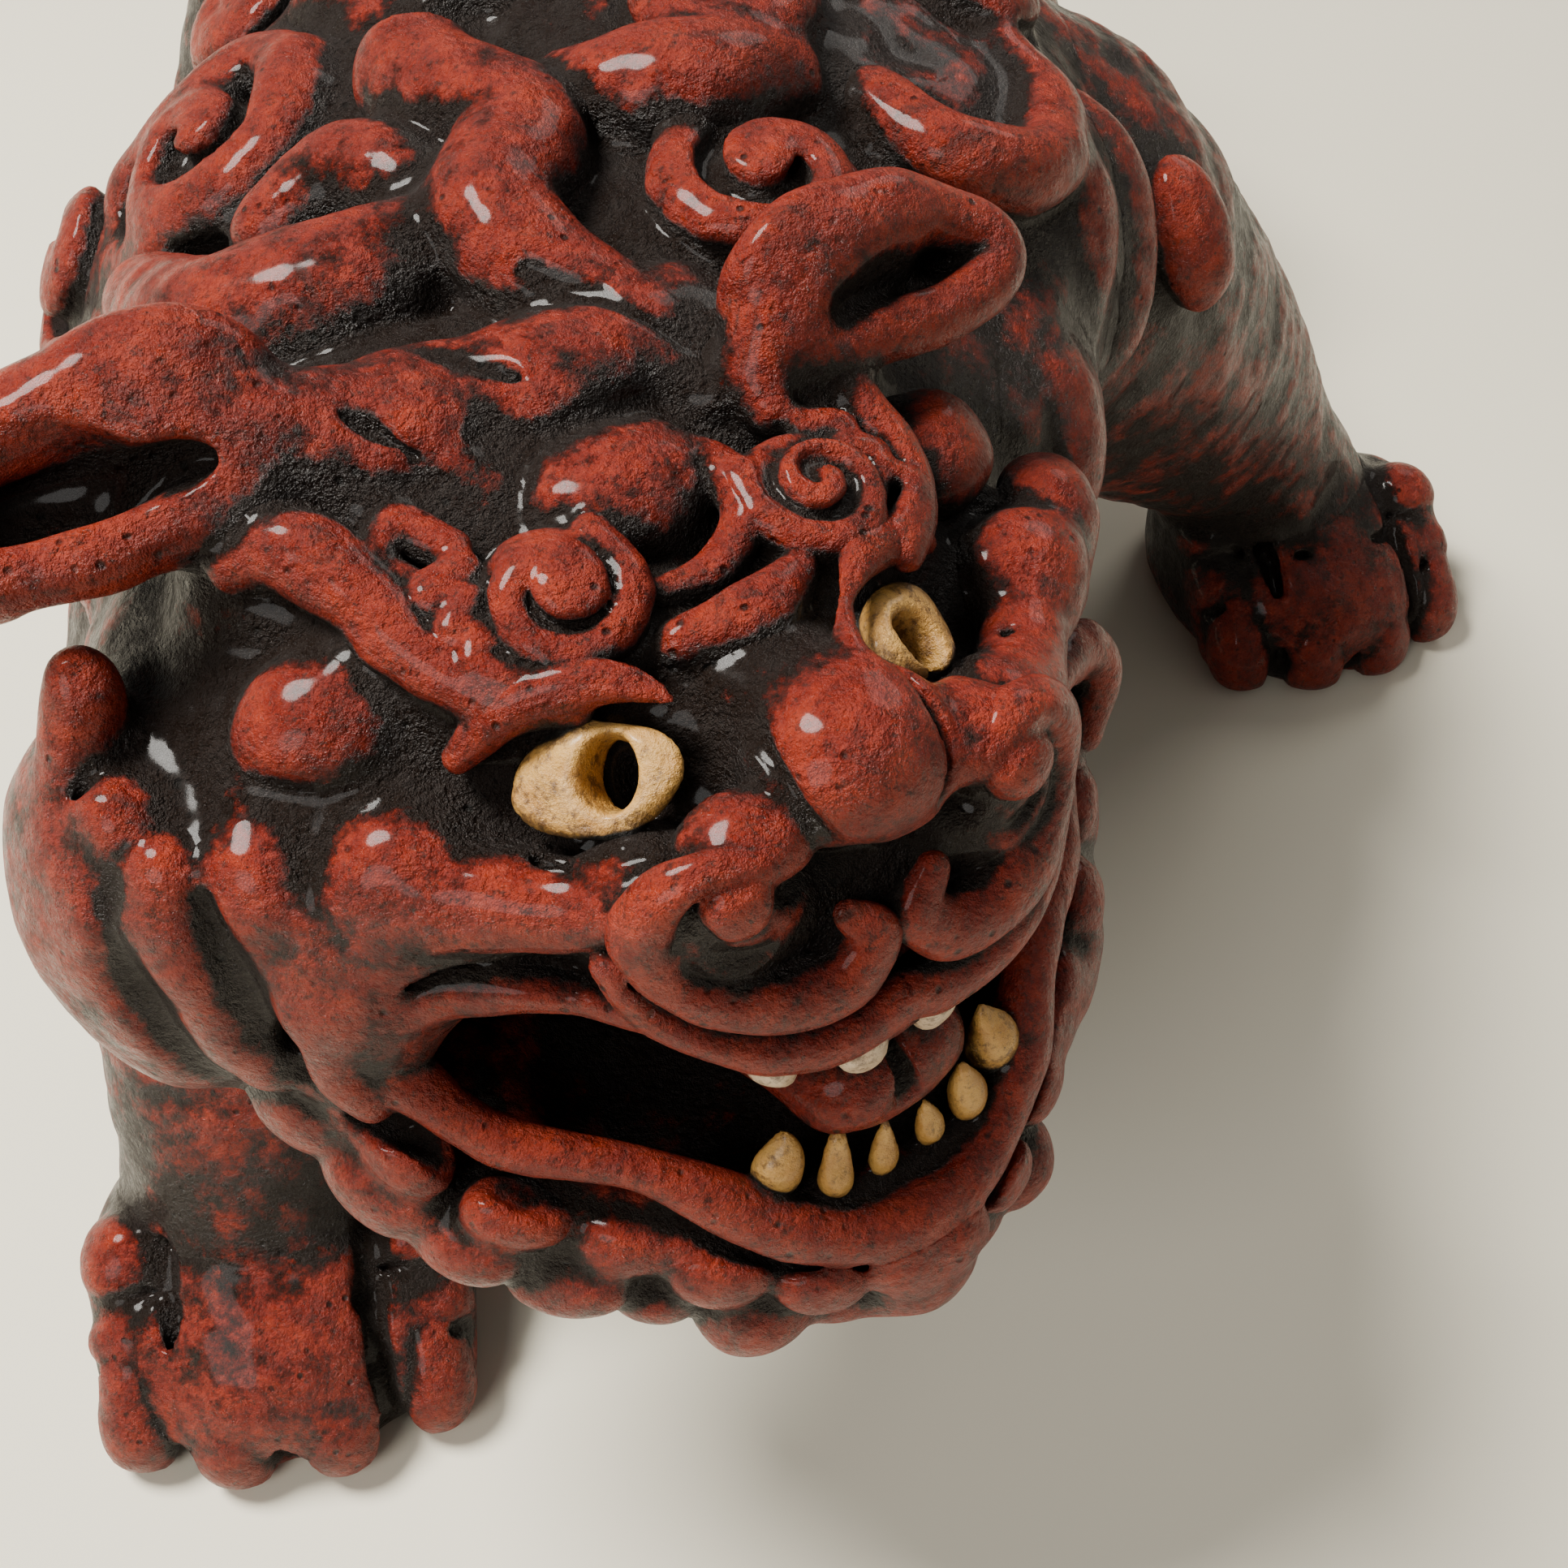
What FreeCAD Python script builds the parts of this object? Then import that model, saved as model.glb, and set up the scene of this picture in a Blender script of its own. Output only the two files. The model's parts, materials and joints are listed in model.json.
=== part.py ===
"""Guardian lion-dog figure: a hollow, press-moulded body with luted-on limbs, face pieces and curls.

Millimetres. The dog faces -Y, its left side is +X, +Z is up, and the origin is on the floor under the
middle of the whole figure. Every piece is trimmed against the pieces it was pressed onto.
"""
import FreeCAD, Part
import math
import os

# Driving dimensions.
WALL = 7.0
PAW_WIDTH = 52.0
PAW_LENGTH = 1.2 * PAW_WIDTH
PAW_HEIGHT = 0.62 * PAW_WIDTH
CLAW_RADIUS = 0.075 * PAW_WIDTH
# The trunk is round about one line from throat to rump; its outline is (distance along the line, radius).
TRUNK_START = (-18.0, -100.0, 103.0)
TRUNK_END = (2.0, 147.0, 98.0)
TRUNK_OUTLINE = [
    (0.0, 24.0), (34.0, 43.0), (86.0, 55.0), (146.0, 45.0), (198.0, 51.0), (234.0, 35.0), (247.0, 12.0),
]
TAIL_ROOT = (1.5, 138.0, 118.0)
HEAD_YAW = 23.0
EYE_MIDPOINT = (-11.5, -132.0, 132.0)
EYE_SPACING = 31.4
EYE_WIDTH = 17.0
EYE_HEIGHT = 9.5
PUPIL_RADIUS = 2.5
SKULL_PLACE = (0.0, -32.0, -16.0)
SKULL_RADII = (44.0, 38.0, 27.0)
EAR_LENGTH = 34.0
EAR_WIDTH = 27.0
EAR_THICKNESS = 4.0
# Turning each ball's seams keeps them off the plane where the trunk's halves meet.
SEAM_TURN = 37.0
MESH_TOLERANCE = 0.05
# Anything smaller than this, in cubic millimetres, is a sliver left by a cut and not clay.
SMALLEST_LUMP = 2.0
# The side of a box that is larger than the whole figure.
BEYOND = 600.0
# A hair lock's radius along its length, as shares of its own radius: root, first swelling, last taper.
LOCK_ROOT = 0.75
LOCK_SWELL = 0.9
LOCK_TAPER = 1.4
BEARD_CURLS = 7
BEARD_SWEEP = 150.0
BEARD_CURL_RADII = (9.0, 9.0, 7.5)
TUFT_SHARES = (0.05, 0.38, 0.72)
# The eyes lean back, turn towards the temples and tip down at the outer corners.
EYE_LEAN = -30.0
EYE_TIP = 14.0
EYE_TURN = 10.0
EAR_TIP = 8.0
EAR_TURN = 14.0
EAR_DEPTH = 9.0

PAWS = {
    "front_right": {"at": (-78.5, -114.0), "yaw": -8.0, "ankle": (-75.5, -101.0)},
    "front_left": {"at": (112.0, 1.0), "yaw": 11.0, "ankle": (100.0, 8.0)},
    "hind_right": {"at": (-64.0, 84.0), "yaw": -6.0, "ankle": (-63.0, 98.0)},
    "hind_left": {"at": (62.0, 102.0), "yaw": 6.0, "ankle": (61.0, 116.0)},
}
LEGS = {
    "front_right": [((-48.0, -34.0, 98.0), 35.0), ((-64.0, -66.0, 70.0), 30.0), ((-75.0, -96.0, 38.0), 21.5)],
    "front_left": [((46.0, -14.0, 96.0), 35.0), ((76.0, -4.0, 66.0), 29.0), ((97.0, 7.0, 36.0), 20.5)],
    "hind_right": [((-38.0, 96.0, 96.0), 34.0), ((-59.0, 76.0, 66.0), 27.0), ((-63.0, 96.0, 38.0), 18.0)],
    "hind_left": [((40.0, 109.0, 95.0), 33.0), ((58.0, 93.0, 66.0), 27.0), ((61.0, 114.0, 38.0), 18.0)],
}


def vector(point):
    return FreeCAD.Vector(*point)


def on_head(left, forward, up):
    """A point given from the midpoint between the eyes, along the turned head's own directions."""
    turn = math.radians(HEAD_YAW)
    x = EYE_MIDPOINT[0] + left * math.cos(turn) + forward * math.sin(turn)
    y = EYE_MIDPOINT[1] + left * math.sin(turn) - forward * math.cos(turn)
    return (x, y, EYE_MIDPOINT[2] + up)


def head_direction(left, forward, up):
    start = vector(on_head(0.0, 0.0, 0.0))
    return (vector(on_head(left, forward, up)) - start).normalize()


def ball():
    """A ball of radius 1 in two halves of skin, so that no face closes on itself."""
    centre = FreeCAD.Vector(0, 0, 0)
    up = FreeCAD.Vector(0, 0, 1)
    half = Part.makeSphere(1.0, centre, up, -90, 90, 180)
    other = half.copy()
    other.rotate(centre, up, 180)
    whole = half.fuse(other)
    whole.rotate(centre, up, SEAM_TURN)
    return whole.Solids[0]


def ellipsoid(centre, radii, yaw=0.0, pitch=0.0, roll=0.0):
    """An ellipsoid whose axes are turned by yaw about Z, then pitch about its X and roll about its Y."""
    scale = FreeCAD.Matrix()
    scale.scale(*radii)
    shape = ball().transformGeometry(scale)
    turn = FreeCAD.Rotation(FreeCAD.Vector(0, 0, 1), yaw)
    turn = turn.multiply(FreeCAD.Rotation(FreeCAD.Vector(1, 0, 0), pitch))
    turn = turn.multiply(FreeCAD.Rotation(FreeCAD.Vector(0, 1, 0), roll))
    shape.Placement = FreeCAD.Placement(vector(centre), turn)
    return shape


def head_ellipsoid(left, forward, up, radii, pitch=0.0, roll=0.0, yaw=0.0):
    """An ellipsoid on the head; its radii run across, along and up the head."""
    return ellipsoid(on_head(left, forward, up), radii, HEAD_YAW + yaw, pitch, roll)


def join(shapes):
    result = shapes[0]
    if len(shapes) > 1:
        result = shapes[0].multiFuse([shape.copy() for shape in shapes[1:]])
    return result


def trim(shape, *others):
    """Cut away what other pieces already fill, and keep only real lumps of material."""
    for other in others:
        if shape.Solids and other.Solids:
            shape = shape.copy().cut(other.copy())
    solids = [solid for solid in shape.Solids if solid.Volume > SMALLEST_LUMP]
    if len(solids) == 1:
        return solids[0]
    return Part.makeCompound(solids)


def largest(shape):
    return max(shape.Solids, key=lambda solid: solid.Volume)


def turned(profile, centre, axis):
    """A solid of revolution: profile holds (radius, height) points along the axis, from centre."""
    points = [FreeCAD.Vector(radius, 0, height) for radius, height in profile]
    face = Part.Face(Part.makePolygon(points + [points[0]]))
    shape = face.revolve(FreeCAD.Vector(0, 0, 0), FreeCAD.Vector(0, 0, 1), 360)
    solid = shape if shape.ShapeType == "Solid" else Part.Solid(shape.Shells[0])
    turn = FreeCAD.Rotation(FreeCAD.Vector(0, 0, 1), vector(axis))
    solid.Placement = FreeCAD.Placement(vector(centre), turn)
    return solid


def curl(centre, axis, radius, height):
    """A rolled lock seen end on: a raised rim round a groove, with a bead in the middle."""
    root = -0.6 * radius
    profile = [
        (0.0, root), (0.8 * radius, root), (radius, 0.0), (0.95 * radius, 0.55 * height),
        (0.78 * radius, 0.8 * height), (0.6 * radius, 0.7 * height), (0.48 * radius, 0.4 * height),
        (0.38 * radius, 0.7 * height), (0.2 * radius, 0.95 * height), (0.0, height),
    ]
    return turned(profile, centre, axis)


def tube(stations):
    """A tapering, round limb or lock through (centre, radius) stations."""
    centres = [vector(centre) for centre, radius in stations]
    overall = (centres[-1] - centres[0]).normalize()
    level = FreeCAD.Rotation(FreeCAD.Vector(0, 0, 1), overall)
    wires = []
    for index, (centre, radius) in enumerate(stations):
        before = centres[max(index - 1, 0)]
        after = centres[min(index + 1, len(centres) - 1)]
        lean = FreeCAD.Rotation(overall, (after - before).normalize())
        circle = Part.makeCircle(radius)
        circle.Placement = FreeCAD.Placement(centres[index], lean.multiply(level))
        wires.append(Part.Wire(circle))
    return Part.makeLoft(wires, True, False)


def tapered_lock(points, radius):
    """A hair lock: a tube that swells after its root and ends in a small blunt tip."""
    count = len(points)
    stations = []
    for index, point in enumerate(points):
        share = index / (count - 1)
        stations.append((point, radius * (LOCK_ROOT + LOCK_SWELL * share - LOCK_TAPER * share * share)))
    return tube(stations)


# ---- Trunk ----------------------------------------------------------------------------------------

def trunk_solid(wall):
    """The trunk's outside, or with a wall its hollow, turned about its own line."""
    outline = [(along, radius - wall) for along, radius in TRUNK_OUTLINE]
    if wall > 0.0:
        outline = outline[:-1]
    points = [FreeCAD.Vector(radius, 0, along) for along, radius in outline]
    curve = Part.BSplineCurve()
    curve.interpolate(points)
    low = FreeCAD.Vector(0, 0, outline[0][0])
    high = FreeCAD.Vector(0, 0, outline[-1][0])
    straight = [Part.makeLine(points[-1], high), Part.makeLine(high, low), Part.makeLine(low, points[0])]
    face = Part.Face(Part.Wire([curve.toShape()] + straight))
    shape = face.revolve(FreeCAD.Vector(0, 0, 0), FreeCAD.Vector(0, 0, 1), 360)
    solid = shape if shape.ShapeType == "Solid" else Part.Solid(shape.Shells[0])
    along = vector(TRUNK_END) - vector(TRUNK_START)
    solid.Placement = FreeCAD.Placement(vector(TRUNK_START), FreeCAD.Rotation(FreeCAD.Vector(0, 0, 1), along))
    return solid


def trunk_surface(along, angle):
    """A point on the trunk and its outward direction; angle 0 is the left side, 90 the top."""
    for low, high in zip(TRUNK_OUTLINE, TRUNK_OUTLINE[1:]):
        if low[0] <= along <= high[0]:
            share = (along - low[0]) / (high[0] - low[0])
            radius = low[1] + (high[1] - low[1]) * share
    line = (vector(TRUNK_END) - vector(TRUNK_START)).normalize()
    turn = math.radians(angle)
    out = FreeCAD.Vector(math.cos(turn), 0.0, math.sin(turn))
    point = vector(TRUNK_START) + line * along + out * radius
    return tuple(point), tuple(out)


def shrunk(radii, wall):
    return tuple(radius - wall for radius in radii)


def half_space(side):
    """Everything on one side of the plane where the trunk's halves meet."""
    low_x = 0.0 if side > 0 else -BEYOND
    return Part.makeBox(BEYOND, BEYOND, BEYOND, FreeCAD.Vector(low_x, -0.5 * BEYOND, -0.5 * BEYOND))


def below_floor():
    return Part.makeBox(BEYOND, BEYOND, BEYOND, FreeCAD.Vector(-0.5 * BEYOND, -0.5 * BEYOND, -BEYOND))


# ---- Limbs ----------------------------------------------------------------------------------------

def leg(name):
    """A tapering limb from a round shoulder or hip down into the top of its paw."""
    stations = LEGS[name]
    ankle = PAWS[name]["ankle"]
    foot = ((ankle[0], ankle[1], 0.3 * PAW_HEIGHT), 0.9 * stations[-1][1])
    shoulder_radius = 1.04 * stations[0][1]
    shoulder = ellipsoid(stations[0][0], (shoulder_radius, shoulder_radius, shoulder_radius))
    return join([tube(stations + [foot]), shoulder])


def paw_point(name, across, forward, up):
    paw = PAWS[name]
    turn = math.radians(paw["yaw"])
    x = paw["at"][0] + across * math.cos(turn) + forward * math.sin(turn)
    y = paw["at"][1] + across * math.sin(turn) - forward * math.cos(turn)
    return (x, y, up)


TOE_PLACES = (-0.36, -0.12, 0.12, 0.36)


def toe_reach(place):
    """How far a toe's middle lies ahead of the paw's middle."""
    return PAW_LENGTH * (0.27 - 0.45 * place * place)


def paw(name):
    """A heel pad and four toes, cut off flat where they stand."""
    yaw = PAWS[name]["yaw"]
    heel_radii = (0.46 * PAW_WIDTH, 0.42 * PAW_LENGTH, 0.56 * PAW_HEIGHT)
    shapes = [ellipsoid(paw_point(name, 0.0, -0.1 * PAW_LENGTH, 0.4 * PAW_HEIGHT), heel_radii, yaw)]
    for place in TOE_PLACES:
        centre = paw_point(name, place * PAW_WIDTH, toe_reach(place), 0.3 * PAW_HEIGHT)
        toe_radii = (0.155 * PAW_WIDTH, 0.24 * PAW_LENGTH, 0.42 * PAW_HEIGHT)
        shapes.append(ellipsoid(centre, toe_radii, yaw + 20.0 * place))
    return largest(join(shapes).cut(below_floor()))


def claws(name):
    """Four short claws, one on each toe tip."""
    shapes = []
    for place in TOE_PLACES:
        reach = toe_reach(place)
        back = paw_point(name, place * PAW_WIDTH, reach + 0.08 * PAW_LENGTH, 0.42 * PAW_HEIGHT)
        middle = paw_point(name, 1.03 * place * PAW_WIDTH, reach + 0.2 * PAW_LENGTH, 0.34 * PAW_HEIGHT)
        tip = paw_point(name, 1.06 * place * PAW_WIDTH, reach + 0.27 * PAW_LENGTH, 0.16 * PAW_HEIGHT)
        shapes.append(tube([(back, CLAW_RADIUS), (middle, 0.95 * CLAW_RADIUS), (tip, 0.45 * CLAW_RADIUS)]))
    return shapes


def leg_tufts(name):
    """Three flame-shaped tufts up the back and outside of a shin."""
    side = 1.0 if name.endswith("left") else -1.0
    low = vector(LEGS[name][2][0])
    high = vector(LEGS[name][1][0])
    shapes = []
    for share in TUFT_SHARES:
        spot = low + (high - low) * share
        radius = LEGS[name][2][1] + (LEGS[name][1][1] - LEGS[name][2][1]) * share
        root = spot + FreeCAD.Vector(0.55 * side * radius, 0.45 * radius, 2.0)
        elbow = spot + FreeCAD.Vector(0.86 * side * radius, 0.72 * radius, 1.0)
        tip = spot + FreeCAD.Vector(0.92 * side * radius, 0.95 * radius, -8.0)
        shapes.append(tube([(tuple(root), 6.0), (tuple(elbow), 5.0), (tuple(tip), 1.6)]))
    return shapes


def shoulder_boss(name, out):
    """The raised oval muscle on the outside of a shoulder or thigh."""
    centre, radius = LEGS[name][0]
    lower = LEGS[name][1][0]
    middle = [0.72 * a + 0.28 * b for a, b in zip(centre, lower)]
    place = (middle[0] + out * 0.72 * radius, middle[1] - 0.1 * radius, middle[2] + 0.36 * radius)
    return ellipsoid(place, (0.42 * radius, 0.46 * radius, 0.66 * radius), 0.0, 0.0, 30.0 * out)


# ---- Head -----------------------------------------------------------------------------------------

def skull_outside():
    cheeks = [head_ellipsoid(side * 32.0, -22.0, -20.0, (19.0, 24.0, 20.0)) for side in (-1, 1)]
    return join([head_ellipsoid(*SKULL_PLACE, SKULL_RADII)] + cheeks)


def skull_hollow():
    return head_ellipsoid(*SKULL_PLACE, shrunk(SKULL_RADII, WALL))


def muzzle():
    bridge = head_ellipsoid(0.0, -1.0, -7.0, (15.0, 20.0, 13.0))
    snout = head_ellipsoid(0.0, 5.0, -13.0, (24.0, 17.0, 14.0))
    lip = head_ellipsoid(0.0, -6.0, -18.0, (38.0, 21.0, 9.0))
    return join([bridge, snout, lip])


def lower_jaw():
    """The jaw, open above as a trough for the tongue."""
    bowl = head_ellipsoid(0.0, -6.0, -50.0, (44.0, 36.0, 16.0))
    corners = [head_ellipsoid(side * 37.0, -24.0, -40.0, (11.0, 17.0, 17.0)) for side in (-1, 1)]
    throat = head_ellipsoid(0.0, -38.0, -42.0, (34.0, 24.0, 20.0))
    trough = head_ellipsoid(0.0, -6.0, -38.0, (34.0, 29.0, 13.0))
    return join([bowl, throat] + corners).cut(trough)


def tongue():
    return head_ellipsoid(0.0, 0.0, -44.0, (16.0, 24.0, 5.0), 6.0)


def eye(side):
    """An almond slab with a pierced pupil."""
    place = (side * 0.5 * EYE_SPACING, -2.0, -1.0)
    radii = (0.5 * EYE_WIDTH, 0.5 * EYE_HEIGHT, 0.55 * EYE_HEIGHT)
    return head_ellipsoid(*place, radii, EYE_LEAN, -EYE_TIP * side, EYE_TURN * side)


def pupil_hole(side):
    """The pupil's bore: it runs from in front of the eye into the hollow skull."""
    start = vector(on_head(side * 0.5 * EYE_SPACING, 6.0, 6.0))
    end = vector(on_head(side * 0.36 * EYE_SPACING, -22.0, -16.0))
    run = end - start
    return Part.makeCylinder(PUPIL_RADIUS, run.Length, start, run)


def brow_curl(side):
    return curl(on_head(side * 12.5, -13.5, 9.0), head_direction(0.15 * side, 0.45, 0.9), 7.2, 5.0)


def brow_ridge(side):
    """The flame that sweeps out from the brow curl to the temple."""
    points = [on_head(side * 19.0, -11.0, 8.5), on_head(side * 26.0, -13.0, 8.0),
              on_head(side * 34.0, -19.0, 6.0), on_head(side * 38.0, -27.0, 6.0)]
    return tapered_lock(points, 7.0)


def moustache_curl(side):
    return curl(on_head(side * 14.8, 18.0, -1.0), head_direction(0.35 * side, 0.85, 0.45), 7.0, 4.5)


def cheek_flame(side):
    points = [on_head(side * 22.0, 7.0, -12.0), on_head(side * 31.0, 2.0, -10.0),
              on_head(side * 43.0, -8.0, -8.0), on_head(side * 50.0, -22.0, -4.0)]
    return tapered_lock(points, 8.0)


def cheek_ball(side):
    return head_ellipsoid(side * 36.0, -12.0, 0.0, (8.5, 7.5, 7.0))


def forehead_curl():
    back = head_ellipsoid(0.0, -20.0, 15.0, (8.0, 9.0, 6.0))
    front = head_ellipsoid(5.0, -13.0, 11.0, (6.0, 4.5, 4.0))
    return join([back, front])


def nose():
    wings = [head_ellipsoid(side * 11.0, 13.0, -2.0, (6.0, 5.5, 4.5)) for side in (-1, 1)]
    return join([head_ellipsoid(0.0, 13.0, 2.0, (9.0, 9.0, 8.5))] + wings)


def ear(side):
    """A cupped ear: an outer leaf with a scoop taken out of its front."""
    middle = (side * 37.0, -40.0, 14.0)
    leaf_radii = (0.5 * EAR_LENGTH, 0.5 * EAR_WIDTH, EAR_DEPTH)
    leaf = head_ellipsoid(*middle, leaf_radii, 0.0, EAR_TIP * side, EAR_TURN * side)
    scoop_place = (middle[0] + 4.0 * side, middle[1] + 3.0, middle[2] + 5.0)
    scoop_radii = (0.5 * EAR_LENGTH - EAR_THICKNESS, 0.5 * EAR_WIDTH - EAR_THICKNESS, EAR_DEPTH)
    scoop = head_ellipsoid(*scoop_place, scoop_radii, 0.0, EAR_TIP * side, EAR_TURN * side)
    return largest(leaf.cut(scoop))


def tooth(left, forward, up, radius, height):
    """A cone with a blunt tip; a negative height points it down."""
    root = on_head(left, forward, up)
    tip = on_head(left, forward, up + height)
    middle = on_head(left, forward, up + 0.5 * height)
    return tube([(root, radius), (middle, 0.85 * radius), (tip, 0.3 * radius)])


def beard_curls():
    """A row of round curls under the jaw's edge, from one jowl to the other."""
    shapes = []
    for step in range(BEARD_CURLS):
        angle = math.radians(BEARD_SWEEP * (step / (BEARD_CURLS - 1) - 0.5))
        left = 41.0 * math.sin(angle)
        forward = -6.0 + 33.0 * math.cos(angle)
        shapes.append(head_ellipsoid(left, forward, -60.0, BEARD_CURL_RADII))
    return shapes


# ---- Mane and tail --------------------------------------------------------------------------------

def mane_row(along, angles, radius):
    """Curls of one size round the trunk at one place along it."""
    shapes = []
    for angle in angles:
        point, out = trunk_surface(along, angle)
        shapes.append(curl(point, out, radius, 0.55 * radius))
    return shapes


def tail_plume():
    """A flame of three upright locks above the rump."""
    x, y, z = TAIL_ROOT
    middle = tube([(TAIL_ROOT, 12.0), ((x, y + 14.0, z + 24.0), 16.0), ((x - 1.0, y + 16.0, z + 48.0), 12.0),
                   ((x - 3.0, y + 8.0, z + 70.0), 3.0)])
    sides = []
    for side in (-1.0, 1.0):
        low = (x + 12.0 * side, y + 11.0, z + 20.0)
        high = (x + 20.0 * side, y + 10.0, z + 40.0)
        tip = (x + 21.0 * side, y + 2.0, z + 56.0)
        sides.append(tube([(TAIL_ROOT, 9.0), (low, 11.0), (high, 8.0), (tip, 2.5)]))
    return middle, sides


# ---- Assembly -------------------------------------------------------------------------------------

def build():
    nodes = {}
    trunk = trunk_solid(0.0)
    trunk_wall = trim(trunk, trunk_solid(WALL), skull_hollow())
    skull = skull_outside()
    skull_only = trim(skull, trunk)
    snout = trim(muzzle(), skull, trunk)
    jaw = largest(trim(lower_jaw(), skull, muzzle(), trunk))

    nodes["trunk_shell_left"] = trim(trunk_wall, half_space(-1))
    nodes["trunk_shell_right"] = trim(trunk_wall, half_space(1))

    eyes = {side: eye(side) for side in (-1, 1)}
    holes = {side: pupil_hole(side) for side in (-1, 1)}
    skull_wall = trim(skull_only, skull_hollow())
    for side in (-1, 1):
        skull_wall = trim(skull_wall, eyes[side], holes[side])
        snout = trim(snout, eyes[side], holes[side])
    nodes["head_shell"] = largest(skull_wall)
    nodes["muzzle"] = largest(snout)
    nodes["lower_jaw"] = jaw
    nodes["tongue"] = largest(trim(tongue(), lower_jaw(), skull, trunk))

    face = [skull, muzzle(), trunk]
    nose_raw = nose()
    nodes["nose"] = largest(trim(nose_raw, *face))
    for side, word in ((-1, "right"), (1, "left")):
        nodes["eye_" + word] = largest(trim(eyes[side], holes[side]))
        brow = brow_curl(side)
        forehead = forehead_curl()
        whisker = moustache_curl(side)
        flame = cheek_flame(side)
        nodes["brow_curl_" + word] = largest(trim(brow, *face, eyes[side], holes[side]))
        nodes["moustache_curl_" + word] = largest(trim(whisker, *face, nose_raw))
        nodes["cheek_flame_" + word] = largest(trim(flame, *face, whisker))
        ridge = brow_ridge(side)
        nodes["brow_ridge_" + word] = largest(trim(ridge, *face, brow, eyes[side]))
        nodes["cheek_ball_" + word] = largest(trim(cheek_ball(side), *face, flame, ridge, eyes[side]))
        nodes["ear_" + word] = largest(trim(ear(side), skull, trunk))
    nodes["forehead_curl"] = largest(trim(forehead, *face, brow_curl(-1), brow_curl(1)))

    upper = [tooth(side * 11.9, 15.0, -22.0, 2.6, -8.0) for side in (-1, 1)]
    nodes["upper_fangs"] = trim(Part.makeCompound(upper), muzzle())
    small = [tooth(left, 16.5, -24.0, 2.2, -5.0) for left in (-4.0, 4.0)]
    nodes["upper_incisors"] = trim(Part.makeCompound(small), muzzle())
    fangs = [tooth(side * 12.0, 19.5, -46.0, 2.8, 12.0) for side in (-1, 1)]
    nodes["lower_fangs"] = trim(Part.makeCompound(fangs), lower_jaw(), tongue())
    front = [tooth(left, 22.0, -47.0, 2.2, 8.0) for left in (-7.5, -2.5, 2.5, 7.5)]
    nodes["lower_incisors"] = trim(Part.makeCompound(front), lower_jaw(), tongue())
    nodes["beard_curls"] = trim(Part.makeCompound(beard_curls()), lower_jaw(), skull, trunk)

    for name in LEGS:
        limb = leg(name)
        foot = paw(name)
        group, word = name.split("_")
        side = 1.0 if word == "left" else -1.0
        nodes["leg_" + name] = largest(trim(limb, trunk, skull))
        nodes["paw_" + name] = largest(trim(foot, limb, trunk))
        nodes["claws_" + name] = trim(Part.makeCompound(claws(name)), foot, limb)
        nodes["leg_tufts_" + name] = trim(Part.makeCompound(leg_tufts(name)), limb, foot, trunk)
        nodes["muscle_boss_" + name] = largest(trim(shoulder_boss(name, side), limb, trunk))

    taken = [trunk, skull, ear(-1), ear(1), leg("front_left"), leg("front_right")]
    rows = {
        "mane_collar_curls": mane_row(40.0, (130.0, 98.0, 66.0, 36.0), 12.0),
        "mane_crest_curls": mane_row(94.0, (74.0, 106.0), 16.0) + mane_row(66.0, (90.0,), 15.0),
        "mane_curls_left": mane_row(70.0, (58.0,), 14.0) + mane_row(104.0, (44.0,), 15.0),
        "mane_curls_right": mane_row(70.0, (122.0, 146.0), 15.0) + mane_row(104.0, (136.0,), 15.0),
        "mane_fringe_left": mane_row(128.0, (82.0, 56.0, 30.0), 13.0),
        "mane_fringe_right": mane_row(128.0, (108.0, 134.0, 158.0), 13.0),
        "mane_side_curls_right": mane_row(36.0, (160.0,), 12.0) + mane_row(56.0, (168.0,), 12.0),
        "mane_side_curls_left": mane_row(44.0, (10.0,), 12.0),
        "rump_curls": mane_row(206.0, (62.0, 118.0), 12.0),
    }
    for name, shapes in rows.items():
        kept = []
        for shape in shapes:
            kept.append(trim(shape, *taken))
            taken.append(shape)
        nodes[name] = trim(Part.makeCompound([solid for part in kept for solid in part.Solids]))

    middle, sides = tail_plume()
    nodes["tail_plume"] = largest(trim(middle, trunk))
    nodes["tail_side_locks"] = Part.makeCompound([largest(trim(lock, middle, trunk)) for lock in sides])
    return nodes


def bounds(shapes):
    """The tight box round some shapes, from fine meshes of their faces."""
    box = FreeCAD.BoundBox()
    for shape in shapes:
        for point in shape.tessellate(MESH_TOLERANCE)[0]:
            box.add(point)
    return box


def main():
    nodes = build()
    box = bounds(nodes.values())
    shift = FreeCAD.Vector(-box.Center.x, -box.Center.y, 0.0)
    os.makedirs("parts", exist_ok=True)
    for name, shape in nodes.items():
        placed = shape.copy()
        placed.translate(shift)
        placed.exportStep("parts/" + name + ".step")
        print(name, len(placed.Solids), placed.isValid(), round(placed.Volume / 1000.0, 2))
    print("size", round(box.XLength, 1), round(box.YLength, 1), round(box.ZLength, 1), "shift", shift)


main()
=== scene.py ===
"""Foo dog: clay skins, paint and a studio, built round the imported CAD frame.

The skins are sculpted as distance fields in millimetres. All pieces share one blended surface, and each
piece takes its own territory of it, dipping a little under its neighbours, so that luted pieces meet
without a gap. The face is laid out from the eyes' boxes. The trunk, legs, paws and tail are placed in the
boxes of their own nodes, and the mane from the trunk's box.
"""
import json
import math

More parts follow.
